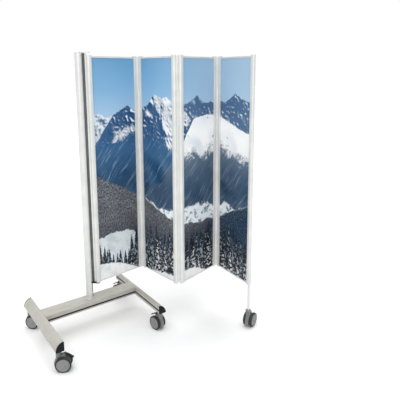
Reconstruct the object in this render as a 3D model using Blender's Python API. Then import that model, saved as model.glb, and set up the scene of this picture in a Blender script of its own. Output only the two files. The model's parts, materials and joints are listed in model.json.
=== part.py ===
"""Mobile folding screen: a wheeled H-shaped base with a pole, and four hinged sections.

Frame: metres, +Z up, floor at z = 0. The base's crossbar runs along X and its legs along Y.
The origin is on the floor, under the middle of the screen's bounding box.
"""

from math import atan2, cos, hypot, pi, radians, sin

import bmesh
import bpy
from mathutils import Matrix, Vector

# Clearances
TOUCH = 0.0003  # between pieces that touch
RUNNING = 0.0003  # radial, between a pin and its bore

# Base
LEG_GAP = 0.513  # between the two legs' inner faces
LEG_WIDTH = 0.040
LEG_HEIGHT = 0.045
LEG_FRONT = 0.300  # from the pole's axis to the legs' front ends
LEG_REAR = 0.195
LEG_UNDERSIDE = 0.106
CAP_THICKNESS = 0.008
CAP_PLUG_LENGTH = 0.012
CROSSBAR_WIDTH = 0.085
CROSSBAR_HEIGHT = 0.040
EXTRUSION_WALL = 0.004
STRIP_HEIGHT = 0.009
STRIP_DEPTH = 0.0025
STRIP_BELOW_TOP = 0.027  # the strips' middle, below the frame's top
POLE_BOLT_RADIUS = 0.005
POLE_BOLT_HEAD_RADIUS = 0.009
POLE_BOLT_HEAD_HEIGHT = 0.006

# Pole
POLE_RADIUS = 0.019
POLE_BORE_RADIUS = 0.0155
POLE_ABOVE_SECTIONS = 0.009
POLE_FOOT_HEIGHT = 0.040
POLE_SLOT_WIDTH = 0.006
POLE_SLOT_DEPTH = 0.002
COLLAR_RADIUS = 0.0225
COLLAR_HEIGHT = 0.005
COLLAR_CHAMFER = 0.002

# Sections
SECTION_PITCH = 0.298  # from one fold axis to the next
SECTION_BOTTOM = 0.250
SECTION_TOP = 1.455
PROFILE_THICKNESS = 0.020
PROFILE_WIDTH = 0.0215
PROFILE_BORE_RADIUS = 0.006
SHEET_THICKNESS = 0.004
SHEET_INSERT = 0.0035  # how deep the sheet sits in a profile or a rail
GROOVE_DEPTH = 0.004
RAIL_THICKNESS = 0.008
TOP_RAIL_HEIGHT = 0.008
BOTTOM_RAIL_HEIGHT = 0.0065
TOP_RAIL_BELOW_PROFILE = 0.005
FIRST_AXIS = (0.036, -0.0385)  # the axis that section 1 turns on, seen from the pole's axis
SECTION_DIRECTIONS = (6.6, -82.7, 13.5, -93.4)  # degrees from +X, at rest

# Folds
FACE_GAP = 0.002  # between two sections' faces when they are folded together
NOSE_GAP = 0.0005  # between two profiles' noses when the sections are in line
BARREL_RADIUS = 0.004
WEB_THICKNESS = 0.005
PIN_RADIUS = 0.0016
KNUCKLE_COUNT = 7
KNUCKLE_GAP = 0.0006
KNUCKLE_END_MARGIN = 0.006

# Brackets that hold section 1 on the pole
BRACKET_THICKNESS = 0.005
BRACKET_HALF_WIDTH = 0.0095
PIVOT_RADIUS = 0.0056
PIVOT_LENGTH = 0.024
TOP_BRACKET_LIFT = 0.0015  # of the arm, over the pole's cap
POLE_CAP_THICKNESS = 0.0025
POLE_CAP_PLUG = 0.018
SEAL_THICKNESS = 0.0024
SEAL_NOSE_GAP = 0.0012

# Casters
WHEEL_RADIUS = 0.0375
WHEEL_INNER = 0.0100  # half the gap between a caster's two wheels
WHEEL_OUTER = 0.0265
WHEEL_BORE = 0.0043
WHEEL_EDGE = 0.0025
WHEEL_CROWN = 0.0006
WHEEL_COVER_MARGIN = 0.011  # from the tread to the wheel's flat outer face
AXLE_RADIUS = 0.0040
TRAIL = 0.022
BODY_HALF_WIDTH = 0.0094  # of the caster's body, between the wheels
BODY_ABOVE_TREAD = 0.0060
BODY_ANGLES = (-30.0, 98.0)  # where its large round part starts and ends, about the axle
BODY_REAR_RADIUS = 0.0160
TREAD_GAP = 0.0022  # between a wheel's tread and the column over it
COLUMN_RADIUS = 0.0130
COLUMN_FOOT = 0.012  # the column starts this far above the axle
FLANGE_RADIUS = 0.0155
FLANGE_HEIGHT = 0.006
STEM_RADIUS = 0.0054
STEM_LENGTH = 0.022
PEDAL_BARREL_HALF_WIDTH = 0.0060
PEDAL_NECK_HALF_WIDTH = 0.0057
PEDAL_HALF_WIDTH = 0.0093
PEDAL_THICKNESS = 0.0036
PEDAL_START_LIFT = 0.0036  # of its inner side over the treads' radius, next to its pivot
PEDAL_END_LIFT = 0.0085  # and at its far end
PEDAL_ANGLES = (103.0, 114.0, 148.0)  # its start, its wider part's start, and its end, round the axle
PEDAL_LIP = 0.0055  # how far its pointed lip stands out
PEDAL_PIVOT_BACK = 0.0080  # from the wheels' axle
PEDAL_PIVOT_ABOVE_BODY = 0.0042
PEDAL_PIN_RADIUS = 0.0012
PEDAL_BARREL_RADIUS = 0.0035
PEDAL_LUG = 0.003
LUG_SINK = 0.0019  # how far the pedal's lugs reach into the body
LUG_FOOT = 0.0090  # how far their feet reach over it, from the pedal's pivot
END_CASTER_HEIGHT = 0.100
END_STEM_RADIUS = 0.006
END_SOCKET_DEPTH = 0.020
FRONT_STEM_FROM_END = 0.020
REAR_STEM_FROM_END = 0.025
CASTER_DIRECTIONS = {
    "front_left": -30.0,
    "front_right": 100.0,
    "rear_left": -50.0,
    "rear_right": 110.0,
}
END_CASTER_DIRECTION = 114.0  # seen from section 4

# Worked out from the values above
POLE_TOP = SECTION_TOP + POLE_ABOVE_SECTIONS
BODY_RADIUS = WHEEL_RADIUS + BODY_ABOVE_TREAD
PEDAL_PIVOT = (-PEDAL_PIVOT_BACK, BODY_RADIUS + PEDAL_PIVOT_ABOVE_BODY)  # from the wheels' axle
FRAME_TOP = LEG_UNDERSIDE + LEG_HEIGHT
LEG_MIDDLE = (LEG_GAP + LEG_WIDTH) / 2
STRIP_MIDDLE = FRAME_TOP - STRIP_BELOW_TOP
NOSE_RADIUS = PROFILE_THICKNESS / 2
FOLD_OFFSET = NOSE_RADIUS + FACE_GAP / 2  # of a fold axis, from a section's mid-plane
NOSE_FROM_FOLD = NOSE_GAP / 2 + NOSE_RADIUS
GROOVE_WIDTH = SHEET_THICKNESS + 2 * TOUCH
PROFILE_BODY = PROFILE_WIDTH - NOSE_RADIUS  # from the nose's centre to the inner face
POLE_TO_FIRST = hypot(*FIRST_AXIS)
FIRST_BEARING = atan2(FIRST_AXIS[1], FIRST_AXIS[0])

WARM_GREY = ("frame_grey", (0.45, 0.45, 0.42), 0.45, 0.0)
SILVER = ("profile_silver", (0.80, 0.80, 0.80), 0.35, 0.3)
BLACK = ("black_plastic", (0.02, 0.02, 0.02), 0.55, 0.0)
RUBBER = ("black_rubber", (0.015, 0.015, 0.015), 0.8, 0.0)
PLASTIC_GREY = ("caster_grey", (0.27, 0.27, 0.27), 0.5, 0.0)
PRINT = ("printed_sheet", (0.35, 0.45, 0.62), 0.5, 0.0)
STEEL = ("bright_steel", (0.60, 0.60, 0.62), 0.3, 1.0)


# ---------------------------------------------------------------- outlines
def arc(centre, radius, start, end, steps):
    """Points of an arc, from start to end in radians, both ends included."""
    angles = [start + (end - start) * i / steps for i in range(steps + 1)]
    return [(centre[0] + radius * cos(a), centre[1] + radius * sin(a)) for a in angles]


def circle(centre, radius, steps):
    return arc(centre, radius, 0.0, 2 * pi, steps)[:-1]


def quarter_ellipse(width, height, inset=0.0, steps=9):
    """The legs' outline: a flat side at x = 0, a flat underside, and a curved outer side."""
    low = inset
    points = [(inset, low), (width - 1.2 * inset, low)]
    for i in range(1, steps):
        angle = pi / 2 * i / steps
        points.append(((width - inset) * cos(angle), max(low, (height - inset) * sin(angle))))
    return points + [(inset, height - inset)]


# ---------------------------------------------------------------- meshes
def prism(outline, low, high):
    """A solid with this outline in X and Y, from z = low to z = high."""
    mesh = bmesh.new()
    bottom = [mesh.verts.new((x, y, low)) for x, y in outline]
    face = mesh.faces.new(bottom)
    moved = bmesh.ops.extrude_face_region(mesh, geom=[face])["geom"]
    verts = [item for item in moved if isinstance(item, bmesh.types.BMVert)]
    bmesh.ops.translate(mesh, verts=verts, vec=(0, 0, high - low))
    return closed(mesh)


def hollow_prism(outer, inner, low, high):
    """A tube between two outlines with the same number of points, open at both ends."""
    mesh = bmesh.new()
    loops = [[mesh.verts.new((x, y, z)) for x, y in line] for line in (outer, inner) for z in (low, high)]
    outer_low, outer_high, inner_low, inner_high = loops
    pairs = ((outer_low, outer_high), (outer_high, inner_high), (inner_high, inner_low), (inner_low, outer_low))
    for i in range(len(outer)):
        j = (i + 1) % len(outer)
        for first, second in pairs:
            mesh.faces.new((first[i], first[j], second[j], second[i]))
    return closed(mesh)


def turned(profile, steps):
    """A solid of revolution about Z. The profile's points are (radius, height), and it is closed."""
    mesh = bmesh.new()
    verts = [mesh.verts.new((radius, 0, height)) for radius, height in profile]
    edges = [mesh.edges.new((verts[i], verts[(i + 1) % len(verts)])) for i in range(len(verts))]
    bmesh.ops.spin(mesh, geom=verts + edges, cent=(0, 0, 0), axis=(0, 0, 1), angle=2 * pi, steps=steps,
                   use_merge=True)
    bmesh.ops.remove_doubles(mesh, verts=mesh.verts, dist=1e-6)
    return closed(mesh)


def closed(mesh):
    """Turns every face outwards and gives back a mesh datablock."""
    bmesh.ops.recalc_face_normals(mesh, faces=mesh.faces)
    if mesh.calc_volume(signed=True) < 0:
        bmesh.ops.reverse_faces(mesh, faces=mesh.faces)
    data = bpy.data.meshes.new("shape")
    mesh.to_mesh(data)
    mesh.free()
    return data


def moved(mesh, matrix):
    """The same mesh, with its points moved."""
    mesh.transform(matrix)
    return mesh


def standing(mesh):
    """Turns a prism so that its outline's X and Y become X and Z, and its height runs along Y."""
    return moved(mesh, Matrix(((1, 0, 0, 0), (0, 0, -1, 0), (0, 1, 0, 0), (0, 0, 0, 1))))


def across(outline, half_width):
    """A prism with its outline in X and Z, from y = -half_width to y = half_width."""
    return standing(prism(outline, -half_width, half_width))


def cylinder(radius, low, high, steps=16, centre=(0.0, 0.0)):
    return prism(circle(centre, radius, steps), low, high)


def combined(mesh, joined=(), cut=()):
    """One mesh: the first joined to some, less the others."""
    scene = bpy.context.scene.collection
    base = bpy.data.objects.new("base", mesh)
    scene.objects.link(base)
    helpers = []
    for operation, shapes in (("UNION", joined), ("DIFFERENCE", cut)):
        for shape in shapes:
            helper = bpy.data.objects.new("helper", shape)
            scene.objects.link(helper)
            helpers.append(helper)
            modifier = base.modifiers.new(operation.lower(), "BOOLEAN")
            modifier.operation = operation
            modifier.solver = "EXACT"
            modifier.object = helper
    bpy.context.view_layer.update()
    graph = bpy.context.evaluated_depsgraph_get()
    result = bpy.data.meshes.new_from_object(base.evaluated_get(graph))
    for thing in [base] + helpers:
        bpy.data.objects.remove(thing)
    return result


# ---------------------------------------------------------------- objects
def material(finish):
    name, colour, roughness, metallic = finish
    made = bpy.data.materials.new(name)
    made.use_nodes = True
    shader = made.node_tree.nodes["Principled BSDF"]
    shader.inputs["Base Color"].default_value = (*colour, 1.0)
    shader.inputs["Roughness"].default_value = roughness
    shader.inputs["Metallic"].default_value = metallic
    made.diffuse_color = (*colour, 1.0)
    return made


def place(name, mesh, finish, parent, location=(0, 0, 0), turn=0.0, smooth=True):
    """A named object of this mesh, under its parent, turned about Z."""
    if smooth:
        mesh.shade_smooth()
        mesh.set_sharp_from_angle(angle=radians(35))
    thing = bpy.data.objects.new(name, mesh)
    bpy.context.scene.collection.objects.link(thing)
    thing.data.materials.clear()
    thing.data.materials.append(material(finish))
    thing.parent = parent
    thing.location = location
    thing.rotation_euler = (0, 0, turn)
    return thing


def empty(name, parent=None, location=(0, 0, 0), turn=0.0):
    thing = bpy.data.objects.new(name, None)
    bpy.context.scene.collection.objects.link(thing)
    thing.parent = parent
    thing.location = location
    thing.rotation_euler = (0, 0, turn)
    return thing


# ---------------------------------------------------------------- base
def leg_mesh(side, stems):
    """A leg along Y with its curved side outwards. side is -1 on the left and 1 on the right."""
    outer = quarter_ellipse(LEG_WIDTH, LEG_HEIGHT)
    inner = quarter_ellipse(LEG_WIDTH, LEG_HEIGHT, EXTRUSION_WALL)
    mesh = standing(hollow_prism(outer, inner, -LEG_REAR, LEG_FRONT))
    groove = prism([(-0.001, -LEG_FRONT - 0.001), (STRIP_DEPTH, -LEG_FRONT - 0.001),
                    (STRIP_DEPTH, LEG_REAR + 0.001), (-0.001, LEG_REAR + 0.001)],
                   LEG_HEIGHT - STRIP_BELOW_TOP - STRIP_HEIGHT / 2,
                   LEG_HEIGHT - STRIP_BELOW_TOP + STRIP_HEIGHT / 2)
    hole_radius = STEM_RADIUS + RUNNING
    holes = [cylinder(hole_radius, -0.001, EXTRUSION_WALL + 0.001, 16, (LEG_WIDTH / 2, y)) for y in stems]
    mesh = combined(mesh, cut=[groove] + holes)
    mirror = Matrix.Diagonal((side, 1, 1, 1))
    mesh.transform(Matrix.Translation((side * LEG_GAP / 2, 0, LEG_UNDERSIDE)) @ mirror)
    return outward(mesh)


def outward(mesh):
    """Turns a mirrored mesh's faces out again."""
    work = bmesh.new()
    work.from_mesh(mesh)
    if work.calc_volume(signed=True) < 0:
        bmesh.ops.reverse_faces(work, faces=work.faces)
    work.to_mesh(mesh)
    work.free()
    return mesh


def leg_cap_mesh(side, end):
    """The plastic cap on a leg's end: a plate with the leg's outline, and a plug inside the leg."""
    plate = standing(prism(quarter_ellipse(LEG_WIDTH, LEG_HEIGHT), 0, CAP_THICKNESS))
    plug_outline = quarter_ellipse(LEG_WIDTH, LEG_HEIGHT, EXTRUSION_WALL + 2 * TOUCH)
    plug = standing(prism(plug_outline, -CAP_PLUG_LENGTH, 0.001))
    mesh = combined(plate, joined=[plug])
    mesh.transform(Matrix.Diagonal((side, end, 1, 1)))
    reach = LEG_FRONT if end > 0 else LEG_REAR
    y = -end * (reach + TOUCH)
    mesh.transform(Matrix.Translation((side * LEG_GAP / 2, y, LEG_UNDERSIDE)))
    return outward(mesh)


def crossbar_mesh():
    half, wall = CROSSBAR_WIDTH / 2, EXTRUSION_WALL
    outer = [(-half, 0), (half, 0), (half, CROSSBAR_HEIGHT), (-half, CROSSBAR_HEIGHT)]
    inner = [(-half + wall, wall), (half - wall, wall), (half - wall, CROSSBAR_HEIGHT - wall),
             (-half + wall, CROSSBAR_HEIGHT - wall)]
    length = LEG_GAP / 2 - TOUCH
    mesh = hollow_prism(outer, inner, -length, length)
    # The outline's X and Y become Y and Z, and the prism's height runs along X.
    mesh.transform(Matrix(((0, 0, 1, 0), (1, 0, 0, 0), (0, 1, 0, FRAME_TOP - CROSSBAR_HEIGHT), (0, 0, 0, 1))))
    groove = prism([(-length - 0.001, -half - 0.001), (length + 0.001, -half - 0.001),
                    (length + 0.001, -half + STRIP_DEPTH), (-length - 0.001, -half + STRIP_DEPTH)],
                   STRIP_MIDDLE - STRIP_HEIGHT / 2, STRIP_MIDDLE + STRIP_HEIGHT / 2)
    bolt_hole = cylinder(POLE_BOLT_RADIUS + RUNNING, FRAME_TOP - CROSSBAR_HEIGHT - 0.001, FRAME_TOP + 0.001)
    return combined(mesh, cut=[groove, bolt_hole])


def strip_mesh(low, high, depth_from, depth_to, along_x):
    """A strip that fills a groove, less the touching gap all round."""
    z_low = STRIP_MIDDLE - STRIP_HEIGHT / 2 + TOUCH
    z_high = STRIP_MIDDLE + STRIP_HEIGHT / 2 - TOUCH
    a, b = min(depth_from, depth_to), max(depth_from, depth_to)
    if along_x:
        return prism([(low, a), (high, a), (high, b), (low, b)], z_low, z_high)
    return prism([(a, low), (b, low), (b, high), (a, high)], z_low, z_high)


def build_base(root):
    stems = {"front": -LEG_FRONT + FRONT_STEM_FROM_END, "rear": LEG_REAR - REAR_STEM_FROM_END}
    place("crossbar", crossbar_mesh(), WARM_GREY, root)
    end = LEG_GAP / 2 - TOUCH
    front = -CROSSBAR_WIDTH / 2
    place("crossbar_strip", strip_mesh(-end, end, front, front + STRIP_DEPTH - TOUCH, True), RUBBER, root)
    for side, word in ((-1, "left"), (1, "right")):
        place(f"{word}_leg", leg_mesh(side, stems.values()), WARM_GREY, root)
        face = side * LEG_GAP / 2
        strip_end = -CROSSBAR_WIDTH / 2 - TOUCH
        mesh = strip_mesh(-LEG_FRONT, strip_end, face, face + side * (STRIP_DEPTH - TOUCH), False)
        place(f"{word}_leg_strip", mesh, RUBBER, root)
        for end_sign, end_word in ((1, "front"), (-1, "rear")):
            place(f"{end_word}_{word}_cap", leg_cap_mesh(side, end_sign), BLACK, root)
    return {f"{end}_{word}": (side * LEG_MIDDLE, y) for end, y in stems.items()
            for side, word in ((-1, "left"), (1, "right"))}


# ---------------------------------------------------------------- pole
def pole_mesh():
    bottom = FRAME_TOP + TOUCH
    tube = cylinder(POLE_RADIUS, bottom, POLE_TOP, 32)
    bore = cylinder(POLE_BORE_RADIUS, bottom + POLE_FOOT_HEIGHT, POLE_TOP + 0.001, 24)
    bolt = cylinder(POLE_BOLT_RADIUS + RUNNING, bottom - 0.001, bottom + POLE_FOOT_HEIGHT + 0.001)
    half = POLE_SLOT_WIDTH / 2
    floor = POLE_RADIUS - POLE_SLOT_DEPTH
    slot = prism([(floor, -half), (POLE_RADIUS + 0.002, -half), (POLE_RADIUS + 0.002, half), (floor, half)],
                 bottom - 0.001, POLE_TOP + 0.001)
    slot.transform(Matrix.Rotation(FIRST_BEARING, 4, "Z"))
    return combined(tube, cut=[bore, bolt, slot])


def slot_strip_mesh(low, high, reach):
    """A strip in the pole's slot, from its floor out to this distance from the pole's axis."""
    half = POLE_SLOT_WIDTH / 2 - TOUCH
    lip = SEAL_THICKNESS / 2
    inner = POLE_RADIUS - POLE_SLOT_DEPTH + TOUCH
    face = POLE_RADIUS - TOUCH
    if reach <= face:
        outline = [(inner, -half), (face, -half), (face, half), (inner, half)]
    else:
        outline = [(inner, -half), (face, -half), (face, -lip), (reach, -lip), (reach, lip), (face, lip),
                   (face, half), (inner, half)]
    return prism(outline, low, high)


def arm_outline(start, half_width):
    """From a straight edge near the pole to a rounded end about the first axis."""
    end = arc((POLE_TO_FIRST, 0), half_width, -pi / 2, pi / 2, 10)
    return [(start, -half_width)] + end + [(start, half_width)]


def top_bracket_mesh():
    """A cap on the pole's top, an arm over section 1's profile, and the pivot below the arm."""
    base = POLE_TOP + TOUCH
    cap = cylinder(POLE_RADIUS, base, base + POLE_CAP_THICKNESS, 32)
    plug = cylinder(POLE_BORE_RADIUS - TOUCH, POLE_TOP - POLE_CAP_PLUG, base + 0.001, 24)
    arm_low = base + TOP_BRACKET_LIFT - 0.0008
    arm = prism(arm_outline(0.010, BRACKET_HALF_WIDTH), arm_low, arm_low + BRACKET_THICKNESS)
    low = SECTION_TOP - PIVOT_LENGTH
    pivot = cylinder(PIVOT_RADIUS, low, arm_low + 0.002, 16, (POLE_TO_FIRST, 0))
    return combined(cap, joined=[plug, arm, pivot])


def bottom_bracket_mesh():
    """An arm below section 1's profile, with a tongue in the pole's slot and a pivot on top."""
    high = SECTION_BOTTOM - TOUCH
    low = high - BRACKET_THICKNESS
    arm = prism(arm_outline(POLE_RADIUS - 0.004, BRACKET_HALF_WIDTH), low, high)
    around = cylinder(POLE_RADIUS + TOUCH, low - 0.001, high + 0.001, 32)
    body = combined(arm, cut=[around])
    half = POLE_SLOT_WIDTH / 2 - TOUCH
    inner = POLE_RADIUS - POLE_SLOT_DEPTH + TOUCH
    outer = POLE_RADIUS + 0.004
    tongue = prism([(inner, -half), (outer, -half), (outer, half), (inner, half)],
                   low + 0.0005, high - 0.0005)
    pivot = cylinder(PIVOT_RADIUS, high - 0.002, SECTION_BOTTOM + PIVOT_LENGTH, 16, (POLE_TO_FIRST, 0))
    return combined(body, joined=[tongue, pivot])


def build_pole(root):
    place("pole", pole_mesh(), SILVER, root)
    bottom = FRAME_TOP + TOUCH
    collar_top = bottom + COLLAR_HEIGHT
    ring = turned([(POLE_RADIUS + TOUCH, bottom), (COLLAR_RADIUS, bottom),
                   (COLLAR_RADIUS, collar_top - COLLAR_CHAMFER),
                   (COLLAR_RADIUS - COLLAR_CHAMFER, collar_top), (POLE_RADIUS + TOUCH, collar_top)], 32)
    place("pole_collar", ring, SILVER, root)
    under = FRAME_TOP - CROSSBAR_HEIGHT - TOUCH
    head = cylinder(POLE_BOLT_HEAD_RADIUS, under - POLE_BOLT_HEAD_HEIGHT, under, 6)
    shank = cylinder(POLE_BOLT_RADIUS, under - 0.001, bottom + POLE_FOOT_HEIGHT - 0.004)
    place("pole_bolt", combined(head, joined=[shank]), STEEL, root)
    bracket_low = SECTION_BOTTOM - TOUCH - BRACKET_THICKNESS
    strip = slot_strip_mesh(collar_top + TOUCH, bracket_low - TOUCH, 0.0)
    place("pole_slot_strip", strip, RUBBER, root, turn=FIRST_BEARING)
    reach = POLE_TO_FIRST - NOSE_RADIUS - SEAL_NOSE_GAP
    seal = slot_strip_mesh(SECTION_BOTTOM + TOUCH, POLE_TOP - TOUCH, reach)
    place("pole_seal", seal, RUBBER, root, turn=FIRST_BEARING)
    place("top_bracket", top_bracket_mesh(), SILVER, root, turn=FIRST_BEARING)
    place("bottom_bracket", bottom_bracket_mesh(), BLACK, root, turn=FIRST_BEARING)


# ---------------------------------------------------------------- casters
def housing_mesh(height, own_stem):
    """A caster's housing about its swivel axis, with its wheels trailing towards -X."""
    axle = (-TRAIL, WHEEL_RADIUS)
    top = height - TOUCH
    side_view = arc(axle, BODY_RADIUS, radians(BODY_ANGLES[0]), radians(BODY_ANGLES[1]), 18)
    side_view += arc(axle, BODY_REAR_RADIUS, radians(150), radians(300), 8)
    body = across(side_view, BODY_HALF_WIDTH)
    # The column is wider than the body, so its foot stays clear of the wheels' treads.
    column = cylinder(COLUMN_RADIUS, WHEEL_RADIUS + COLUMN_FOOT, top - 0.001, 20)
    hollow = across(circle(axle, WHEEL_RADIUS + TREAD_GAP, 40), WHEEL_OUTER + 0.004)
    foot = combined(column, cut=[hollow])
    flange = cylinder(FLANGE_RADIUS, top - FLANGE_HEIGHT, top, 24)
    axle_pin = across(circle(axle, AXLE_RADIUS, 12), WHEEL_OUTER - 0.002)
    joined = [foot, flange, axle_pin]
    cut = []
    if own_stem:
        pivot = (axle[0] + PEDAL_PIVOT[0], axle[1] + PEDAL_PIVOT[1])
        pin_half_length = PEDAL_BARREL_HALF_WIDTH + TOUCH + 0.001
        joined.append(across(circle(pivot, PEDAL_PIN_RADIUS, 8), pin_half_length))
        for side in (-1, 1):
            foot_height = axle[1] + BODY_RADIUS - LUG_SINK
            lug = [(pivot[0] - PEDAL_LUG, foot_height), (pivot[0] + LUG_FOOT, foot_height)]
            lug += arc(pivot, PEDAL_LUG, 0, pi, 6)
            y = side * (PEDAL_BARREL_HALF_WIDTH + TOUCH + PEDAL_LUG / 2)
            joined.append(moved(across(lug, PEDAL_LUG / 2), Matrix.Translation((0, y, 0))))
        joined.append(cylinder(STEM_RADIUS, top - 0.001, top + STEM_LENGTH, 16))
    else:
        cut.append(cylinder(END_STEM_RADIUS + RUNNING, top - END_SOCKET_DEPTH, top + 0.001, 16))
    return combined(body, joined=joined, cut=cut)


def wheel_mesh():
    """A wheel about Z, from its inner face at z = 0 to its outer face."""
    width, edge = WHEEL_OUTER - WHEEL_INNER, WHEEL_EDGE
    return turned([(WHEEL_BORE, 0), (WHEEL_RADIUS - edge, 0), (WHEEL_RADIUS, edge),
                   (WHEEL_RADIUS, width - edge), (WHEEL_RADIUS - edge, width - WHEEL_CROWN),
                   (WHEEL_RADIUS - WHEEL_COVER_MARGIN, width), (WHEEL_BORE, width)], 28)


def pedal_band(first, last, steps):
    """The pedal's inner and outer line between two angles round the axle, seen from its pivot."""
    start, _, end = PEDAL_ANGLES
    lines = [], []
    for i in range(steps + 1):
        angle = first + (last - first) * i / steps
        share = (angle - start) / (end - start)
        radius = WHEEL_RADIUS + PEDAL_START_LIFT + share * (PEDAL_END_LIFT - PEDAL_START_LIFT)
        for line, reach in zip(lines, (radius, radius + PEDAL_THICKNESS)):
            x, z = reach * cos(radians(angle)), reach * sin(radians(angle))
            line.append((x - PEDAL_PIVOT[0], z - PEDAL_PIVOT[1]))
    return lines


def pedal_mesh():
    """A brake pedal about its pivot pin along Y: a barrel, a neck, and a tongue that curves down."""
    start, shoulder, end = PEDAL_ANGLES
    barrel = across(circle((0, 0), PEDAL_BARREL_RADIUS, 12), PEDAL_BARREL_HALF_WIDTH)
    root = PEDAL_BARREL_RADIUS * 0.6
    inner, outer = pedal_band(start, shoulder + 3.0, 3)
    neck = [(0.0, -root)] + inner + outer[::-1] + [(0.0, root)]
    inner, outer = pedal_band(shoulder, end, 7)
    angle, radius = radians(end + 4.0), WHEEL_RADIUS + PEDAL_END_LIFT + PEDAL_LIP
    tip = (radius * cos(angle) - PEDAL_PIVOT[0], radius * sin(angle) - PEDAL_PIVOT[1])
    tongue = inner + [tip] + outer[-2::-1]
    bore = across(circle((0, 0), PEDAL_PIN_RADIUS + RUNNING, 8), PEDAL_BARREL_HALF_WIDTH + 0.001)
    joined = [across(neck, PEDAL_NECK_HALF_WIDTH), across(tongue, PEDAL_HALF_WIDTH)]
    return combined(barrel, joined=joined, cut=[bore])


def build_wheels(name, swivel, wheel):
    """Both wheels of a caster, each about the axle."""
    for side, word in ((1, "left"), (-1, "right")):
        axis = empty(f"{name}_{word}_wheel_axis", swivel, (-TRAIL, 0, WHEEL_RADIUS))
        thing = place(f"{name}_{word}_wheel", wheel, PLASTIC_GREY, axis, (0, side * WHEEL_INNER, 0))
        thing.rotation_euler = (-side * pi / 2, 0, 0)


def build_casters(root, stems):
    housing = housing_mesh(LEG_UNDERSIDE, own_stem=True)
    wheel = wheel_mesh()
    pedal = pedal_mesh()
    pivot = (-TRAIL + PEDAL_PIVOT[0], 0, WHEEL_RADIUS + PEDAL_PIVOT[1])
    for place_name, (x, y) in stems.items():
        name = f"{place_name}_caster"
        # The wheels trail behind the stem, so the housing's own -X points along the given direction.
        turn = radians(CASTER_DIRECTIONS[place_name]) + pi
        swivel = empty(f"{name}_swivel_axis", root, (x, y, 0), turn)
        place(f"{name}_housing", housing, PLASTIC_GREY, swivel)
        build_wheels(name, swivel, wheel)
        axis = empty(f"{name}_pedal_axis", swivel, pivot)
        place(f"{name}_pedal", pedal, BLACK, axis)


# ---------------------------------------------------------------- sections
def knuckle_span(row):
    """The lowest and highest point of a knuckle, counted from the bottom."""
    low = SECTION_BOTTOM + KNUCKLE_END_MARGIN
    pitch = (SECTION_TOP - KNUCKLE_END_MARGIN - low) / KNUCKLE_COUNT
    return low + row * pitch + KNUCKLE_GAP / 2, low + (row + 1) * pitch - KNUCKLE_GAP / 2


def profile_mesh(fold_side, rows):
    """An edge profile about its nose's centre, with its nose towards -X.

    fold_side is 1 where the fold axis lies towards +Y, -1 towards -Y, and 0 where there is none.
    rows are the knuckles that this profile carries.
    """
    radius, body = NOSE_RADIUS, PROFILE_BODY
    half = GROOVE_WIDTH / 2
    outline = arc((0, 0), radius, pi / 2, 3 * pi / 2, 12)
    outline += [(body, -radius), (body, -half), (body - GROOVE_DEPTH, -half), (body - GROOVE_DEPTH, half),
                (body, half), (body, radius)]
    shape = prism(outline, SECTION_BOTTOM, SECTION_TOP)
    bore = cylinder(PROFILE_BORE_RADIUS, SECTION_BOTTOM - 0.001, SECTION_TOP + 0.001, 14)
    knuckles, cuts = [], [bore]
    if fold_side:
        axis = (-NOSE_FROM_FOLD, fold_side * FOLD_OFFSET)
        distance = hypot(*axis)
        along = Vector(axis) / distance
        side = Vector((-along.y, along.x)) * WEB_THICKNESS / 2
        foot = along * (NOSE_RADIUS - 0.002)
        web = [tuple(foot - side), tuple(Vector(axis) - side), tuple(Vector(axis) + side), tuple(foot + side)]
        for row in rows:
            low, high = knuckle_span(row)
            barrel = cylinder(BARREL_RADIUS, low, high, 14, axis)
            knuckles.append(combined(barrel, joined=[prism(web, low, high)]))
        cuts.append(cylinder(PIN_RADIUS + RUNNING, SECTION_BOTTOM - 0.001, SECTION_TOP + 0.001, 10, axis))
    return combined(shape, joined=knuckles, cut=cuts)


def rail_mesh(length, height, top):
    """A rail along X with a groove for the sheet, its outer edge at z = 0 and its groove inwards."""
    half, groove = RAIL_THICKNESS / 2, GROOVE_WIDTH / 2
    depth = GROOVE_DEPTH
    outline = [(-half, 0), (half, 0), (half, height), (groove, height), (groove, height - depth),
               (-groove, height - depth), (-groove, height), (-half, height)]
    mesh = prism(outline, 0, length)
    flip = -1 if top else 1
    mesh.transform(Matrix(((0, 0, 1, 0), (1, 0, 0, 0), (0, flip, 0, 0), (0, 0, 0, 1))))
    return outward(mesh)


def section_plan(index):
    """For one section, in its own frame: its mid-plane's y, its nose centres, and its next fold axis."""
    left_side = (0, -1, 1, -1)[index]
    right_side = (-1, 1, -1, 0)[index]
    middle = -left_side * FOLD_OFFSET
    left_nose = 0.0 if left_side == 0 else NOSE_FROM_FOLD
    span = SECTION_PITCH - 2 * NOSE_FROM_FOLD
    right_nose = left_nose + span
    next_axis = (right_nose + NOSE_FROM_FOLD, middle + right_side * FOLD_OFFSET)
    return left_side, right_side, middle, left_nose, right_nose, next_axis


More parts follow.
